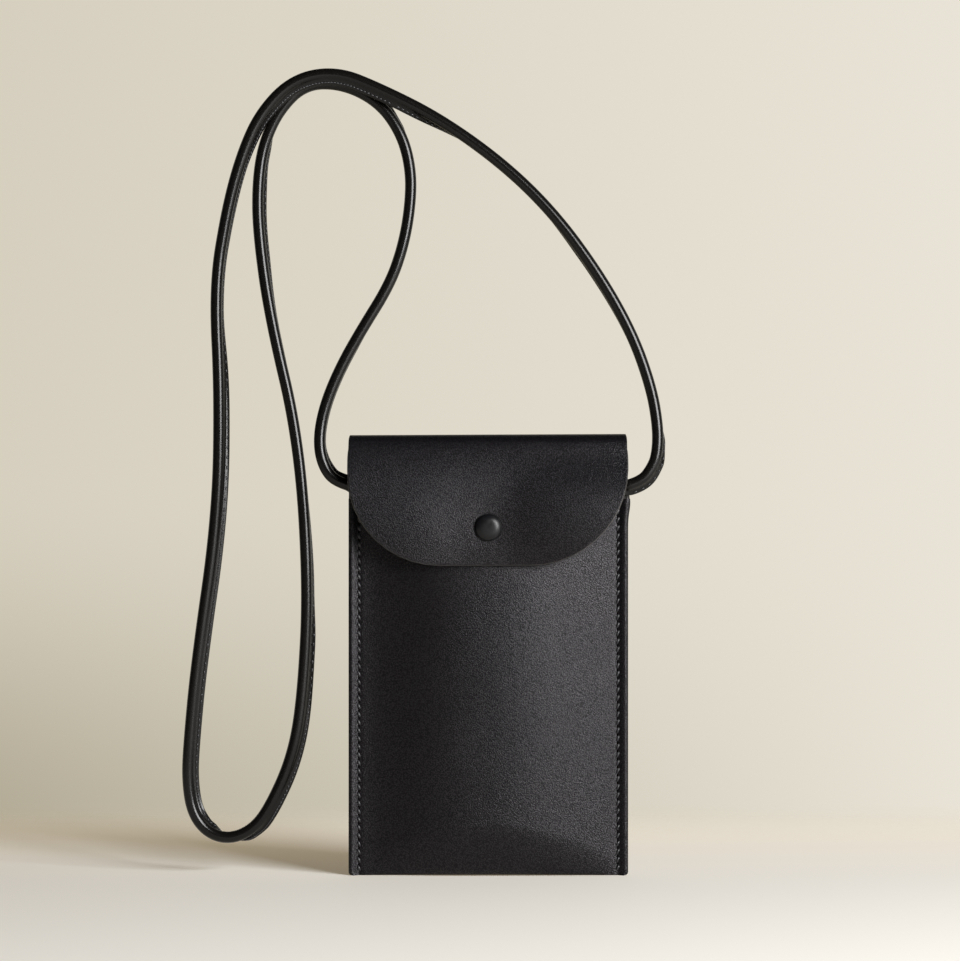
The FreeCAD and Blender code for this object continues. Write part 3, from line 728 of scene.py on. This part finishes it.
# %% [markdown]
# ## Shape of the flap
# The snap holds the flap at one point only, so the flap is drawn in there and swells on
# both sides of it, more on the right. Below the snap its edge leans in again, and its
# lower corners are cut to a wide round.
#
# Each side has its own numbers. It begins to rise at start, is steepest at the share
# called steep and is full at top, all counted from the snap. fall is the share that is
# lost again towards the edge and full_z the height at which the swell is full. rest_rise
# lets the flap come to rest higher up, bow draws its edge in and curl bends the lower
# edge in further.

# %% Shape of the flap
FOLD_END = 155.0
FOLD_END_SKEW = 5.0
FOLD_SHARE_LOW = 0.93
FLAP_REST_Z = 140.0 * MM
FLAP_OUT = 13.3 * MM
LEFT_SIDE = {
    "swell": 2.1 * MM, "start": 0.5 * MM, "steep": 0.5, "top": 34 * MM, "fall": 0.2,
    "full_z": 138 * MM, "rest_rise": 0.0, "bow": 0.4 * MM, "curl": 0.0}
RIGHT_SIDE = {
    "swell": 4.4 * MM, "start": 3 * MM, "steep": 0.25, "top": 48 * MM, "fall": 0.0,
    "full_z": 149 * MM, "rest_rise": 6 * MM, "bow": 0.0, "curl": 1.5 * MM}
CURL_REACH = 25.0 * MM
TAIL = 0.9 * MM
FLAP_CORNER = 38.5 * MM
FLAP_CORNER_SKEW = 1.5 * MM
CAP_DIMPLE = 0.35 * MM
CAP_DIMPLE_REACH = 1.15
FLAP_LIFT = 0.8 * MM

fold_z = fold_low.z
back_edge = fold_high.y
fold_radius = (fold_high.y - fold_low.y) / 2
flap_half = flap_high.x
flap_edge = flap_low.z + FLAP_LIFT


def fold_at(x):
    """Radius of the top fold, which is a little tighter on the left."""
    share = (x / half_width + 1) / 2
    return fold_radius * (FOLD_SHARE_LOW + (1 - FOLD_SHARE_LOW) * share)


def fold_end_at(x):
    """Degrees at which the fold ends and the flap begins, a little more on the right."""
    return FOLD_END + FOLD_END_SKEW * x / half_width


def flap_width(x, z):
    """Half width of the flap at a height, on the side of x."""
    corner = FLAP_CORNER + math.copysign(FLAP_CORNER_SKEW, x)
    depth = min(max(flap_edge + corner - z, 0.0), corner)
    return flap_half - corner + math.sqrt(corner * corner - depth * depth)


def between(share, start, start_slope, end, end_slope):
    """A smooth curve from start to end with the given slopes."""
    square = share * share
    cube = square * share
    return (
        start * (2 * cube - 3 * square + 1) + start_slope * (cube - 2 * square + share)
        + end * (3 * square - 2 * cube) + end_slope * (cube - square))


def climb(share, steep):
    """From 0 to 1, level at both ends and steepest at the share called steep."""
    share = min(max(share, 0.0), 1.0)
    return share ** 2 / steep if share < steep else 1 - (1 - share) ** 2 / (1 - steep)


def flap_out(x, z, start_out, start_z):
    """Distance of the flap's outer face in front of the seam plane."""
    side = RIGHT_SIDE if x > 0 else LEFT_SIDE
    rest_z = FLAP_REST_Z + side["rest_rise"] * ease(abs(x) / side["top"])
    slope = math.tan(math.radians(180 - fold_end_at(x))) * (start_z - rest_z)
    fallen = min((start_z - z) / (start_z - rest_z), 1.0)
    middle = between(fallen, start_out, slope, FLAP_OUT, 0.0)
    across = x / flap_half
    bow = side["bow"] * (fold_z - min(z, fold_z)) / (fold_z - flap_edge) * across ** 2
    rise = climb((abs(x) - side["start"]) / (side["top"] - side["start"]), side["steep"])
    descent = side["fall"] * ease((abs(x) - side["top"]) / (flap_half - side["top"]))
    swell = side["swell"] * ease((fold_z - z) / (fold_z - side["full_z"])) * (rise - descent)
    drawn = TAIL + side["curl"] * ease(abs(x) / CURL_REACH)
    tail = drawn * max(0.0, (snap_z - z) / (snap_z - flap_edge)) ** 2
    off_snap = math.hypot(x - snap_x, z - snap_z) / (CAP_DIMPLE_REACH * cap_radius)
    return middle - bow + swell - tail - CAP_DIMPLE * math.exp(-off_snap ** 4)


print("flap edge at", round(flap_edge / MM, 2), "half width there", round(flap_width(1, flap_edge) / MM, 2))

# %% [markdown]
# ## Back and flap
# The second grid starts under the bottom too. It goes up the back, turns forward over
# the top and comes down as the flap. Near the top the back leaves the seams and leans
# out to meet the fold. The flap is trimmed a little narrower than the pouch.

# %% Back and flap
TURN_START = 157.0 * MM
FOLD_STEP = 5.0
FOLD_TUCK = 0.5 * MM
TUCK_POWER = 6
EDGE_TRIM = 0.3 * MM
RIGHT_TRIM = 0.5 * MM
CORNER_TURNS = (0, 8, 16, 24, 32, 40, 48, 56, 64, 72.5, 80.5, 90)


def narrowed(x, width):
    """A column's place in a narrower row; margin columns keep their distance from the edge."""
    inner = half_width - MARGIN_WIDTH
    width -= EDGE_TRIM + (RIGHT_TRIM if x > 0 else 0.0)
    if abs(x) > inner:
        return math.copysign(width - half_width + abs(x), x)
    return x * (width - MARGIN_WIDTH) / inner


def back_place(x, row):
    """A point of the hide from the bottom up the back, over the top and down the flap."""
    kind, value = row
    radius = fold_at(x)
    middle_y = back_edge - radius
    if kind == "turn":
        panel = panel_place(BACK, x, ("panel", value))
        share = ease((value - TURN_START) / (fold_z - TURN_START))
        return Vector((panel.x, panel.y + (back_edge - panel.y) * share, value))
    if kind == "fold":
        turn = math.radians(value * fold_end_at(x) / FOLD_END)
        wide = narrowed(x, flap_half - FOLD_TUCK * math.sin(turn) ** TUCK_POWER)
        return Vector((wide, middle_y + radius * math.cos(turn), fold_z + radius * math.sin(turn)))
    if kind == "flap":
        last = math.radians(fold_end_at(x))
        start_out = -(middle_y + radius * math.cos(last))
        start_z = fold_z + radius * math.sin(last)
        z = value if value < fold_z else fold_z + (value - fold_z) * (start_z - fold_z) / fold_radius
        tuck = FOLD_TUCK * max(0.0, (z - fold_z) / radius) ** TUCK_POWER
        wide = narrowed(x, flap_width(x, z) - tuck)
        return Vector((wide, -flap_out(wide, z, start_out, start_z), z))
    return panel_place(BACK, x, row)


corner_top = flap_edge + FLAP_CORNER
flap_start = fold_z + fold_radius * math.sin(math.radians(FOLD_END))
back_rows = (
    bottom_rows + rows_between("panel", base_height, TURN_START, ROW_STEP)
    + rows_between("turn", TURN_START, fold_z, ROW_STEP)
    + rows_between("fold", 0.0, FOLD_END, FOLD_STEP)
    + rows_between("flap", flap_start, corner_top, ROW_STEP)
    + [("flap", corner_top - FLAP_CORNER * math.sin(math.radians(turn))) for turn in CORNER_TURNS])
back = carry("back_and_flap", columns[::-1], back_rows, back_place)
thicken(back, LEATHER, (full_grain, flesh_side, edge_paint))
print("back faces", len(back.data.polygons))

# %% [markdown]
# ### Painted edge of the flap
# The cut edge of the flap is sanded and sealed with a few coats of paint, which dry to
# a thin round bead that catches the light. The bead is a flat round section swept along
# the outline that the flap's own rows and columns give.

# %% Painted edge of the flap
BEAD_OUT = 0.4 * MM
BEAD_STEPS = 10
BEAD_TAPER = 6

flap_rows = [row for row in back_rows if row[0] == "flap"]
outline = [back_place(columns[0], row) for row in flap_rows]
outline += [back_place(x, flap_rows[-1]) for x in columns[1:-1]]
outline += [back_place(columns[-1], row) for row in reversed(flap_rows)]
bead_rings = []
for index, place in enumerate(outline):
    along = (outline[min(index + 1, len(outline) - 1)] - outline[max(index - 1, 0)]).normalized()
    outward = along.cross(Vector((0, -1, 0))).normalized()
    from_end = min(index, len(outline) - 1 - index)
    out = BEAD_OUT * ease(from_end / BEAD_TAPER)
    bead_rings.append([
        place + Vector((0, LEATHER / 2 * (1 - math.cos(turn)), 0)) + outward * out * math.sin(turn)
        for turn in (2 * math.pi * step / BEAD_STEPS for step in range(BEAD_STEPS))])
bead = skin("flap_edge_paint", bead_rings)
face_out(bead)
smooth(bead, degrees=60)
bead.data.materials.append(edge_paint)
print("bead from", [round(value / MM, 1) for value in outline[0]], "points", len(outline))

# %% [markdown]
# ## Stitch and needle hole
# A stitch is a short bar of thread that dives into the leather at both ends. It is
# modelled once, from a stretched ball whose tips are pushed in. The shade in a needle
# hole is painted: a flattened ball of the nearly black finish. Both are small and
# repeated often, so they have few faces.

# %% Stitch and needle hole
BALL_SEGMENTS = 8
STITCH_RINGS = 6
HOLE_RINGS = 5
TIP_DIVE = 0.3 * MM
TIP_SHARE = 0.4
HOLE_SIZE = (0.55 * MM, 0.16 * MM, 0.85 * MM)


def pick(piece, chosen):
    """Go into edit mode with only the chosen points selected."""
    bpy.ops.object.mode_set(mode="EDIT")
    bpy.ops.mesh.select_all(action="DESELECT")
    bpy.ops.object.mode_set(mode="OBJECT")
    for index in chosen:
        piece.data.vertices[index].select = True
    bpy.ops.object.mode_set(mode="EDIT")


def stretched_ball(name, rings, radius, stretch):
    """A ball of few faces at the origin, stretched along X, Y and Z."""
    bpy.ops.object.select_all(action="DESELECT")
    bpy.ops.mesh.primitive_uv_sphere_add(segments=BALL_SEGMENTS, ring_count=rings, radius=radius)
    ball = bpy.context.object
    ball.name = name
    bpy.ops.object.mode_set(mode="EDIT")
    bpy.ops.mesh.select_all(action="SELECT")
    bpy.ops.transform.resize(value=stretch)
    bpy.ops.object.mode_set(mode="OBJECT")
    return ball


def one_stitch(name, length, half):
    """A stitch along Z that lies on y = 0 and bows towards -Y, modelled at the origin."""
    stitch = stretched_ball(name, STITCH_RINGS, half, (1, 1, length / 2 / half))
    tips = [vertex.index for vertex in stitch.data.vertices if abs(vertex.co.z) > TIP_SHARE * length]
    pick(stitch, tips)
    bpy.ops.transform.translate(value=(0, TIP_DIVE, 0))
    bpy.ops.object.mode_set(mode="OBJECT")
    return stitch


def lay(piece, matrix):
    """Move a piece's own mesh, so that its object stays at the origin."""
    piece.data.transform(matrix)
    piece.data.update()


def joined(name, pieces):
    """Join pieces into one."""
    bpy.ops.object.select_all(action="DESELECT")
    for piece in pieces:
        piece.select_set(True)
    bpy.context.view_layer.objects.active = pieces[0]
    bpy.ops.object.join()
    pieces[0].name = name
    return pieces[0]


def needle_hole(name):
    """Painted shade in the mouth of a needle hole: a flat, nearly black drop that the leather covers at its
    rim.
    """
    hole = stretched_ball(name, HOLE_RINGS, 1, HOLE_SIZE)
    hole.data.materials.append(hole_painted_shade)
    return hole


print("needle hole", [round(part / MM, 2) for part in HOLE_SIZE], "mm")

# %% [markdown]
# ### Seam stitches
# The side seams show slanted stitches with the painted shade of a needle hole between
# each two, on the front and on the back. An array repeats one stitch and one hole up the
# seam at the real pitch, and the rows of a seam are joined.

# %% Seam stitches
STITCH_PITCH = 3.3 * MM
STITCH_LENGTH = 3.2 * MM
STITCH_SLANT = 26.0
STITCH_START = 3.0 * MM
STITCH_END_GAP = 2.0 * MM
THREAD_HALF = 0.55 * MM
THREAD_RISE = 0.1 * MM
seam_count = int((mouth_z - STITCH_END_GAP - STITCH_START) / STITCH_PITCH) + 1

seam_depth = LEATHER - GROOVE_DEPTH
seams = []
for name, hand in (("left", -1), ("right", 1)):
    rows = []
    for facing in (-1, 1):
        stitch = one_stitch(f"{name}_stitch", STITCH_LENGTH, THREAD_HALF)
        lay(stitch, Matrix.Rotation(math.radians(hand * STITCH_SLANT), 4, "Y"))
        stitch.data.materials.append(waxed_thread)
        hole = needle_hole(f"{name}_hole")
        for piece, out, rise in ((stitch, THREAD_RISE, 0.0), (hole, 0.0, STITCH_PITCH / 2)):
            if facing > 0:
                lay(piece, Matrix.Rotation(math.pi, 4, "Z"))
            lay(piece, Matrix.Translation((
                hand * stitch_x, facing * (seam_depth + out), STITCH_START + rise)))
            apply_modifier(piece, "ARRAY", {
                "count": seam_count, "use_relative_offset": False, "use_constant_offset": True,
                "constant_offset_displace": (0, 0, STITCH_PITCH)})
            rows.append(piece)
    seam = joined(f"{name}_seam_thread", rows)
    smooth(seam, degrees=60)
    seams.append(seam)
print("stitches a seam", seam_count, "faces", len(seams[0].data.polygons))

# %% [markdown]
# ### Strap stitches
# The lip of the strap is sewn with smaller stitches on both faces. An array along a
# curve would ignore the twist, so one stitch is copied along the strap's own line and
# each copy is turned with the lip.

# %% Strap stitches
STRAP_PITCH = 2.6 * MM
STRAP_STITCH = 2.2 * MM
STRAP_THREAD_HALF = 0.3 * MM
LIP_LINE = 3.45 * MM

pattern = one_stitch("strap_stitch", STRAP_STITCH, STRAP_THREAD_HALF)
pattern_points = [vertex.co.copy() for vertex in pattern.data.vertices]
pattern_faces = [tuple(polygon.vertices) for polygon in pattern.data.polygons]
bpy.data.objects.remove(pattern)
points = []
faces = []
reached = STRAP_PITCH
for index, reach in enumerate(strap_reach):
    if reach < reached:
        continue
    reached += STRAP_PITCH
    along, lip, third = strap_axes(index)
    for facing in (-1, 1):
        outward = third * facing
        turn = Matrix((lip * facing, -outward, along)).transposed()
        middle = strap_line[index] + lip * LIP_LINE + outward * LIP_HALF
        first = len(points)
        points += [middle + turn @ point for point in pattern_points]
        faces += [tuple(first + corner for corner in face) for face in pattern_faces]
mesh = bpy.data.meshes.new("strap_thread")
mesh.from_pydata(points, [], faces)
strap_thread = show("strap_thread", mesh)
strap_thread.data.materials.append(waxed_thread)
face_out(strap_thread)
smooth(strap_thread, degrees=60)
print("strap stitches", len(points) // len(pattern_points))

# %% [markdown]
# ### Stitches of the strap ends
# Three short stitches on each face hold a pressed end to the back panel's margin. The
# frame gives their place, and the same stitch is made again at its smaller size.

# %% Stitches of the strap ends
END_COUNT = 3
END_SHARE = 0.9
END_SINK = 0.3 * MM

tab_threads = []
for name in ("left", "right"):
    low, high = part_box(f"{name}_tab_stitches")
    pitch = (high.z - low.z) / END_COUNT
    rows = []
    for facing, y in ((-1, low.y), (1, high.y)):
        for step in range(END_COUNT):
            stitch = one_stitch(f"{name}_end_stitch", END_SHARE * pitch, STRAP_THREAD_HALF)
            if facing > 0:
                lay(stitch, Matrix.Rotation(math.pi, 4, "Z"))
            lay(stitch, Matrix.Translation((
                (low.x + high.x) / 2, y - facing * END_SINK, low.z + (step + 0.5) * pitch)))
            rows.append(stitch)
    thread = joined(f"{name}_end_thread", rows)
    thread.data.materials.append(waxed_thread)
    smooth(thread, degrees=60)
    tab_threads.append(thread)
print("end stitches", [thread.name for thread in tab_threads])

# %% [markdown]
# ## Snap cap
# The cap is a stamped dome with a rolled rim and a marked shoulder. A scaled ball would
# have no rim, so half of the profile is drawn as a line of points and spun round the
# axis of the snap.

# %% Snap cap
RIM_HEIGHT = 1.3 * MM
DOME_POWER = 4
RIM_ROUND = 0.3 * MM
RIM_UPRIGHT = 0.6
PROFILE_STEPS = 14
SPIN_STEPS = 56

cap_top = -cap_low.y
cap_seat = FLAP_OUT - CAP_DIMPLE
dome_height = cap_top - cap_seat - RIM_HEIGHT
profile = [
    (cap_radius - RIM_ROUND, -RIM_ROUND), (cap_radius, 0.0), (cap_radius, RIM_UPRIGHT * RIM_HEIGHT)]
for step in range(PROFILE_STEPS + 1):
    inward = step / PROFILE_STEPS
    radius = (cap_radius - RIM_ROUND / 2) * (1 - inward)
    profile.append((radius, RIM_HEIGHT + dome_height * (1 - (1 - inward) ** DOME_POWER)))

mesh = bpy.data.meshes.new("snap_dome")
mesh.from_pydata(
    [(snap_x + radius, -cap_seat - out, snap_z) for radius, out in profile],
    [(step, step + 1) for step in range(len(profile) - 1)], [])
dome = show("snap_dome", mesh)
choose(dome)
bpy.ops.object.mode_set(mode="EDIT")
bpy.ops.mesh.select_all(action="SELECT")
bpy.ops.mesh.spin(
    steps=SPIN_STEPS, angle=2 * math.pi, center=(snap_x, 0, snap_z), axis=(0, 1, 0))
bpy.ops.mesh.select_all(action="SELECT")
bpy.ops.mesh.remove_doubles(threshold=0.01 * MM)
bpy.ops.mesh.normals_make_consistent(inside=False)
bpy.ops.object.mode_set(mode="OBJECT")
smooth(dome, degrees=50)
print("cap top", round(cap_top / MM, 2), "seat", round(cap_seat / MM, 2))

# %% [markdown]
# ### Black lacquer
# The cap is dipped in black lacquer, smooth and half matt, with faint scuffs from
# being pressed. A noise that varies the roughness shows them.

# %% Black lacquer
SCUFF = 1.5 * MM

lacquer, tree, shader, place = new_finish(
    "black_lacquer", "#0c0c0e", 0.4, {"IOR": 1.5, "Specular IOR Level": 0.3})
scuffs = add_node(tree, "ShaderNodeTexNoise", {}, {
    "Vector": place, "Scale": 1 / SCUFF, "Detail": 4.0, "Roughness": 0.7})
scuffed = add_node(tree, "ShaderNodeMapRange", {}, {
    "Value": scuffs.outputs["Fac"], "From Min": 0.35, "From Max": 0.75, "To Min": 0.32, "To Max": 0.46})
tree.links.new(scuffed.outputs["Result"], shader.inputs["Roughness"])
dome.data.materials.append(lacquer)
print("finish", lacquer.name, "scuffs", SCUFF / MM, "mm")

# %% [markdown]
# ## Lining
# A thin black suede lines the pocket. It is one sheet that goes down the front,
# across the bottom and up the back, just inside the leather. It could be an offset
# copy of the hide, but its own grid needs far fewer faces.

# %% Lining
LINING = 0.6 * MM
LINING_INSET = 1.9 * MM
LINING_HALF = 42.0 * MM
LINING_DROP = 1.5 * MM
LINING_STEP = 3.0 * MM
LINING_MARGIN = 4.0 * MM
LINING_MARGIN_STEPS = 4
LINING_MIDDLE_STEPS = 30


def lining_place(x, row):
    """A point of the lining: a panel's point moved in from its outer face."""
    panel, kind, value = row
    place = panel_place(panel, x, (kind, value))
    share = min(place.z / base_height, 1.0)
    place.y -= panel["side"] * LINING_INSET
    if kind != "panel":
        place.z = LINING_INSET + share * (base_height - LINING_INSET)
    return place


lining_top = mouth_z - LINING_DROP
side_rows = [("round", turn) for turn in BASE_TURNS]
side_rows += rows_between("panel", base_height, lining_top, LINING_STEP)
lining_rows = [(FRONT, kind, value) for kind, value in reversed(side_rows)]
lining_rows += [(BACK, kind, value) for kind, value in side_rows]
lining_columns = columns_across(
    LINING_HALF, LINING_MARGIN, LINING_MARGIN_STEPS, LINING_MIDDLE_STEPS)
lining = carry("pocket_lining", lining_columns, lining_rows, lining_place)
thicken(lining, LINING, (flesh_side, flesh_side, flesh_side))
print("lining faces", len(lining.data.polygons))

# %% [markdown]
# ## Metal of the snap
# Socket, stud and rivet keep the shapes of the frame, which are true to size and
# hardly seen, and get their finish here. The brass is darkened in a bath, so it is
# brown with brighter spots. The spring wire is drawn bright.

# %% Metal of the snap
PATINA = 0.9 * MM
DRAW_MARK = 0.3 * MM

dark_brass, tree, shader, place = new_finish("darkened_brass", "#6b5a3e", 0.34, {"Metallic": 1.0})
patina = add_node(tree, "ShaderNodeTexNoise", {}, {
    "Vector": place, "Scale": 1 / PATINA, "Detail": 4.0, "Roughness": 0.65})
brass_colour = add_node(tree, "ShaderNodeMix", {"data_type": "RGBA"}, {
    "Factor": patina.outputs["Fac"], 6: linear("#4a3f2e"), 7: linear("#8a744c")})
tree.links.new(brass_colour.outputs[2], shader.inputs["Base Color"])

spring_wire, tree, shader, place = new_finish("spring_steel_wire", "#b9babc", 0.28, {"Metallic": 1.0})
drawn = add_node(tree, "ShaderNodeTexNoise", {}, {
    "Vector": place, "Scale": 1 / DRAW_MARK, "Detail": 2.0})
drawn_marks = add_node(tree, "ShaderNodeMapRange", {}, {
    "Value": drawn.outputs["Fac"], "To Min": 0.22, "To Max": 0.36})
tree.links.new(drawn_marks.outputs["Result"], shader.inputs["Roughness"])

for node, finish in (
        ("snap_socket", dark_brass), ("snap_stud", dark_brass), ("snap_post", dark_brass),
        ("snap_spring_ring", spring_wire)):
    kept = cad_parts[node].data
    kept.materials.clear()
    kept.materials.append(finish)
    print(node, "wears", finish.name)

# %% [markdown]
# ## Riding on the frame
# Every piece but the back and flap is attached to a body of the frame, and the frame's
# own pieces that it stands in for are hidden. The back and flap are one skin; here it is
# only fixed in place and not attached. A leaning line from the pouch to the flap, meant
# to keep the bottom with the pouch, is set up, but nothing uses it.

# %% Riding on the frame
BLEND_LEAN = 0.04

strap.data.materials.append(strap_skin)
for tab in tabs:
    tab.data.materials.append(strap_skin)

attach(front, "pouch")
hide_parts("front_panel", "base_fold")

lean = Vector((0, -1, BLEND_LEAN))
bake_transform(back)
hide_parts("back_panel", "top_fold", "flap")

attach(strap, "pouch")
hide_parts("strap_cover", "strap_core")
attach(strap_thread, "pouch")

for name, tab, seam, thread in zip(("left", "right"), tabs, seams, tab_threads):
    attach(tab, "pouch")
    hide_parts(f"{name}_strap_tab")
    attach(seam, "pouch")
    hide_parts(f"{name}_seam_stitches")
    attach(thread, "pouch")
    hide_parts(f"{name}_tab_stitches")

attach(bead, "flap")

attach(dome, "flap")
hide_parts("snap_cap")

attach(lining, "pouch")
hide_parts("front_lining", "base_lining", "back_lining")

# %% [markdown]
# ## Floor
# The floor is a plain pale sheet of paper that fades out a little way behind the pouch,
# so that its far edge never shows as a line. The paper also glows warm, which is painted
# light: the glow grows towards the back and lets it run into the colour of the wall, and
# it lifts the pouch's shadow on it and tints that shadow brown, while the shadow still
# stays on it.

# %% Floor
FLOOR_HALF = 1.6
FLOOR_FADE_START = 0.12
FLOOR_FADE_END = 0.34
GLOW_START = -0.05
GLOW_END = 0.25

bpy.ops.object.select_all(action="DESELECT")
bpy.ops.mesh.primitive_plane_add(size=2 * FLOOR_HALF)
floor = bpy.context.object
floor.name = "pale_floor"
# Painted light: the emission makes the paper glow warm, which lifts and browns the pouch's shadow.
paper, tree, shader, place = new_finish(
    "pale_paper", "#e2e2e0", 0.8, {
        "IOR": 1.4, "Specular IOR Level": 0.1, "Emission Color": linear("#d3bd97")})
floor_axes = add_node(tree, "ShaderNodeSeparateXYZ", {}, {"Vector": place})
fade = add_node(tree, "ShaderNodeMapRange", {"interpolation_type": "SMOOTHSTEP"}, {
    "Value": floor_axes.outputs["Y"], "From Min": FLOOR_FADE_START, "From Max": FLOOR_FADE_END,
    "To Min": 1.0, "To Max": 0.0})
tree.links.new(fade.outputs["Result"], shader.inputs["Alpha"])
# Painted light: the paper's own glow is stronger towards the back.
glow = add_node(tree, "ShaderNodeMapRange", {"interpolation_type": "SMOOTHSTEP"}, {
    "Value": floor_axes.outputs["Y"], "From Min": GLOW_START, "From Max": GLOW_END,
    "To Min": 0.23, "To Max": 0.5})
tree.links.new(glow.outputs["Result"], shader.inputs["Emission Strength"])
floor.data.materials.append(paper)
print("floor fades from", FLOOR_FADE_START, "to", FLOOR_FADE_END, "m behind the pouch")

# %% [markdown]
# ## Light
# A large soft lamp stands at the right in front. The world is a pale room that is
# dimmer in front and above, so that black leather stays black, and a little darker low
# on the left, as a wall is away from its lamp.

# %% Light
KEY_PLACE = Vector((0.96, -1.10, 0.55))
KEY_AIM = Vector((0.0, 0.0, 0.1))
KEY_SIZE = 0.8
KEY_POWER = 46.0
WALL_LEFT = "#d6cfbf"
WALL_LOW = "#b2aa95"
WALL_RIGHT = "#e8e3d6"
ROOM_FRONT = "#3a3a3c"
ROOM_ABOVE = "#1e1e1f"

bpy.ops.object.light_add(type="AREA", location=KEY_PLACE)
key = bpy.context.object
key.data.shape = "SQUARE"
key.data.size = KEY_SIZE
key.data.energy = KEY_POWER
key.rotation_euler = (KEY_AIM - KEY_PLACE).to_track_quat("-Z", "Y").to_euler()

world = bpy.data.worlds.new("studio")
bpy.context.scene.world = world
world.use_nodes = True
tree = world.node_tree
way = add_node(tree, "ShaderNodeTexCoord", {}, {}).outputs["Generated"]
axes = add_node(tree, "ShaderNodeSeparateXYZ", {}, {"Vector": way})
behind = add_node(tree, "ShaderNodeMapRange", {"interpolation_type": "SMOOTHSTEP"}, {
    "Value": axes.outputs["Y"], "From Min": 0.0, "From Max": 0.8})
above = add_node(tree, "ShaderNodeMapRange", {"interpolation_type": "SMOOTHSTEP"}, {
    "Value": axes.outputs["Z"], "From Min": 0.25, "From Max": 0.8})
rightward = add_node(tree, "ShaderNodeMapRange", {}, {
    "Value": axes.outputs["X"], "From Min": -0.13, "From Max": 0.13})
lowered = add_node(tree, "ShaderNodeMapRange", {"interpolation_type": "SMOOTHSTEP"}, {
    "Value": axes.outputs["Z"], "From Min": -0.10, "From Max": 0.0})
wall_left = add_node(tree, "ShaderNodeMix", {"data_type": "RGBA"}, {
    "Factor": lowered.outputs["Result"], 6: linear(WALL_LOW), 7: linear(WALL_LEFT)})
wall = add_node(tree, "ShaderNodeMix", {"data_type": "RGBA"}, {
    "Factor": rightward.outputs["Result"], 6: wall_left.outputs[2], 7: linear(WALL_RIGHT)})
room = add_node(tree, "ShaderNodeMix", {"data_type": "RGBA"}, {
    "Factor": behind.outputs["Result"], 6: linear(ROOM_FRONT), 7: wall.outputs[2]})
covered = add_node(tree, "ShaderNodeMix", {"data_type": "RGBA"}, {
    "Factor": above.outputs["Result"], 6: room.outputs[2], 7: linear(ROOM_ABOVE)})
tree.links.new(covered.outputs[2], tree.nodes["Background"].inputs["Color"])
print("key lamp", KEY_POWER, "W at", round((KEY_AIM - KEY_PLACE).length, 2), "m")
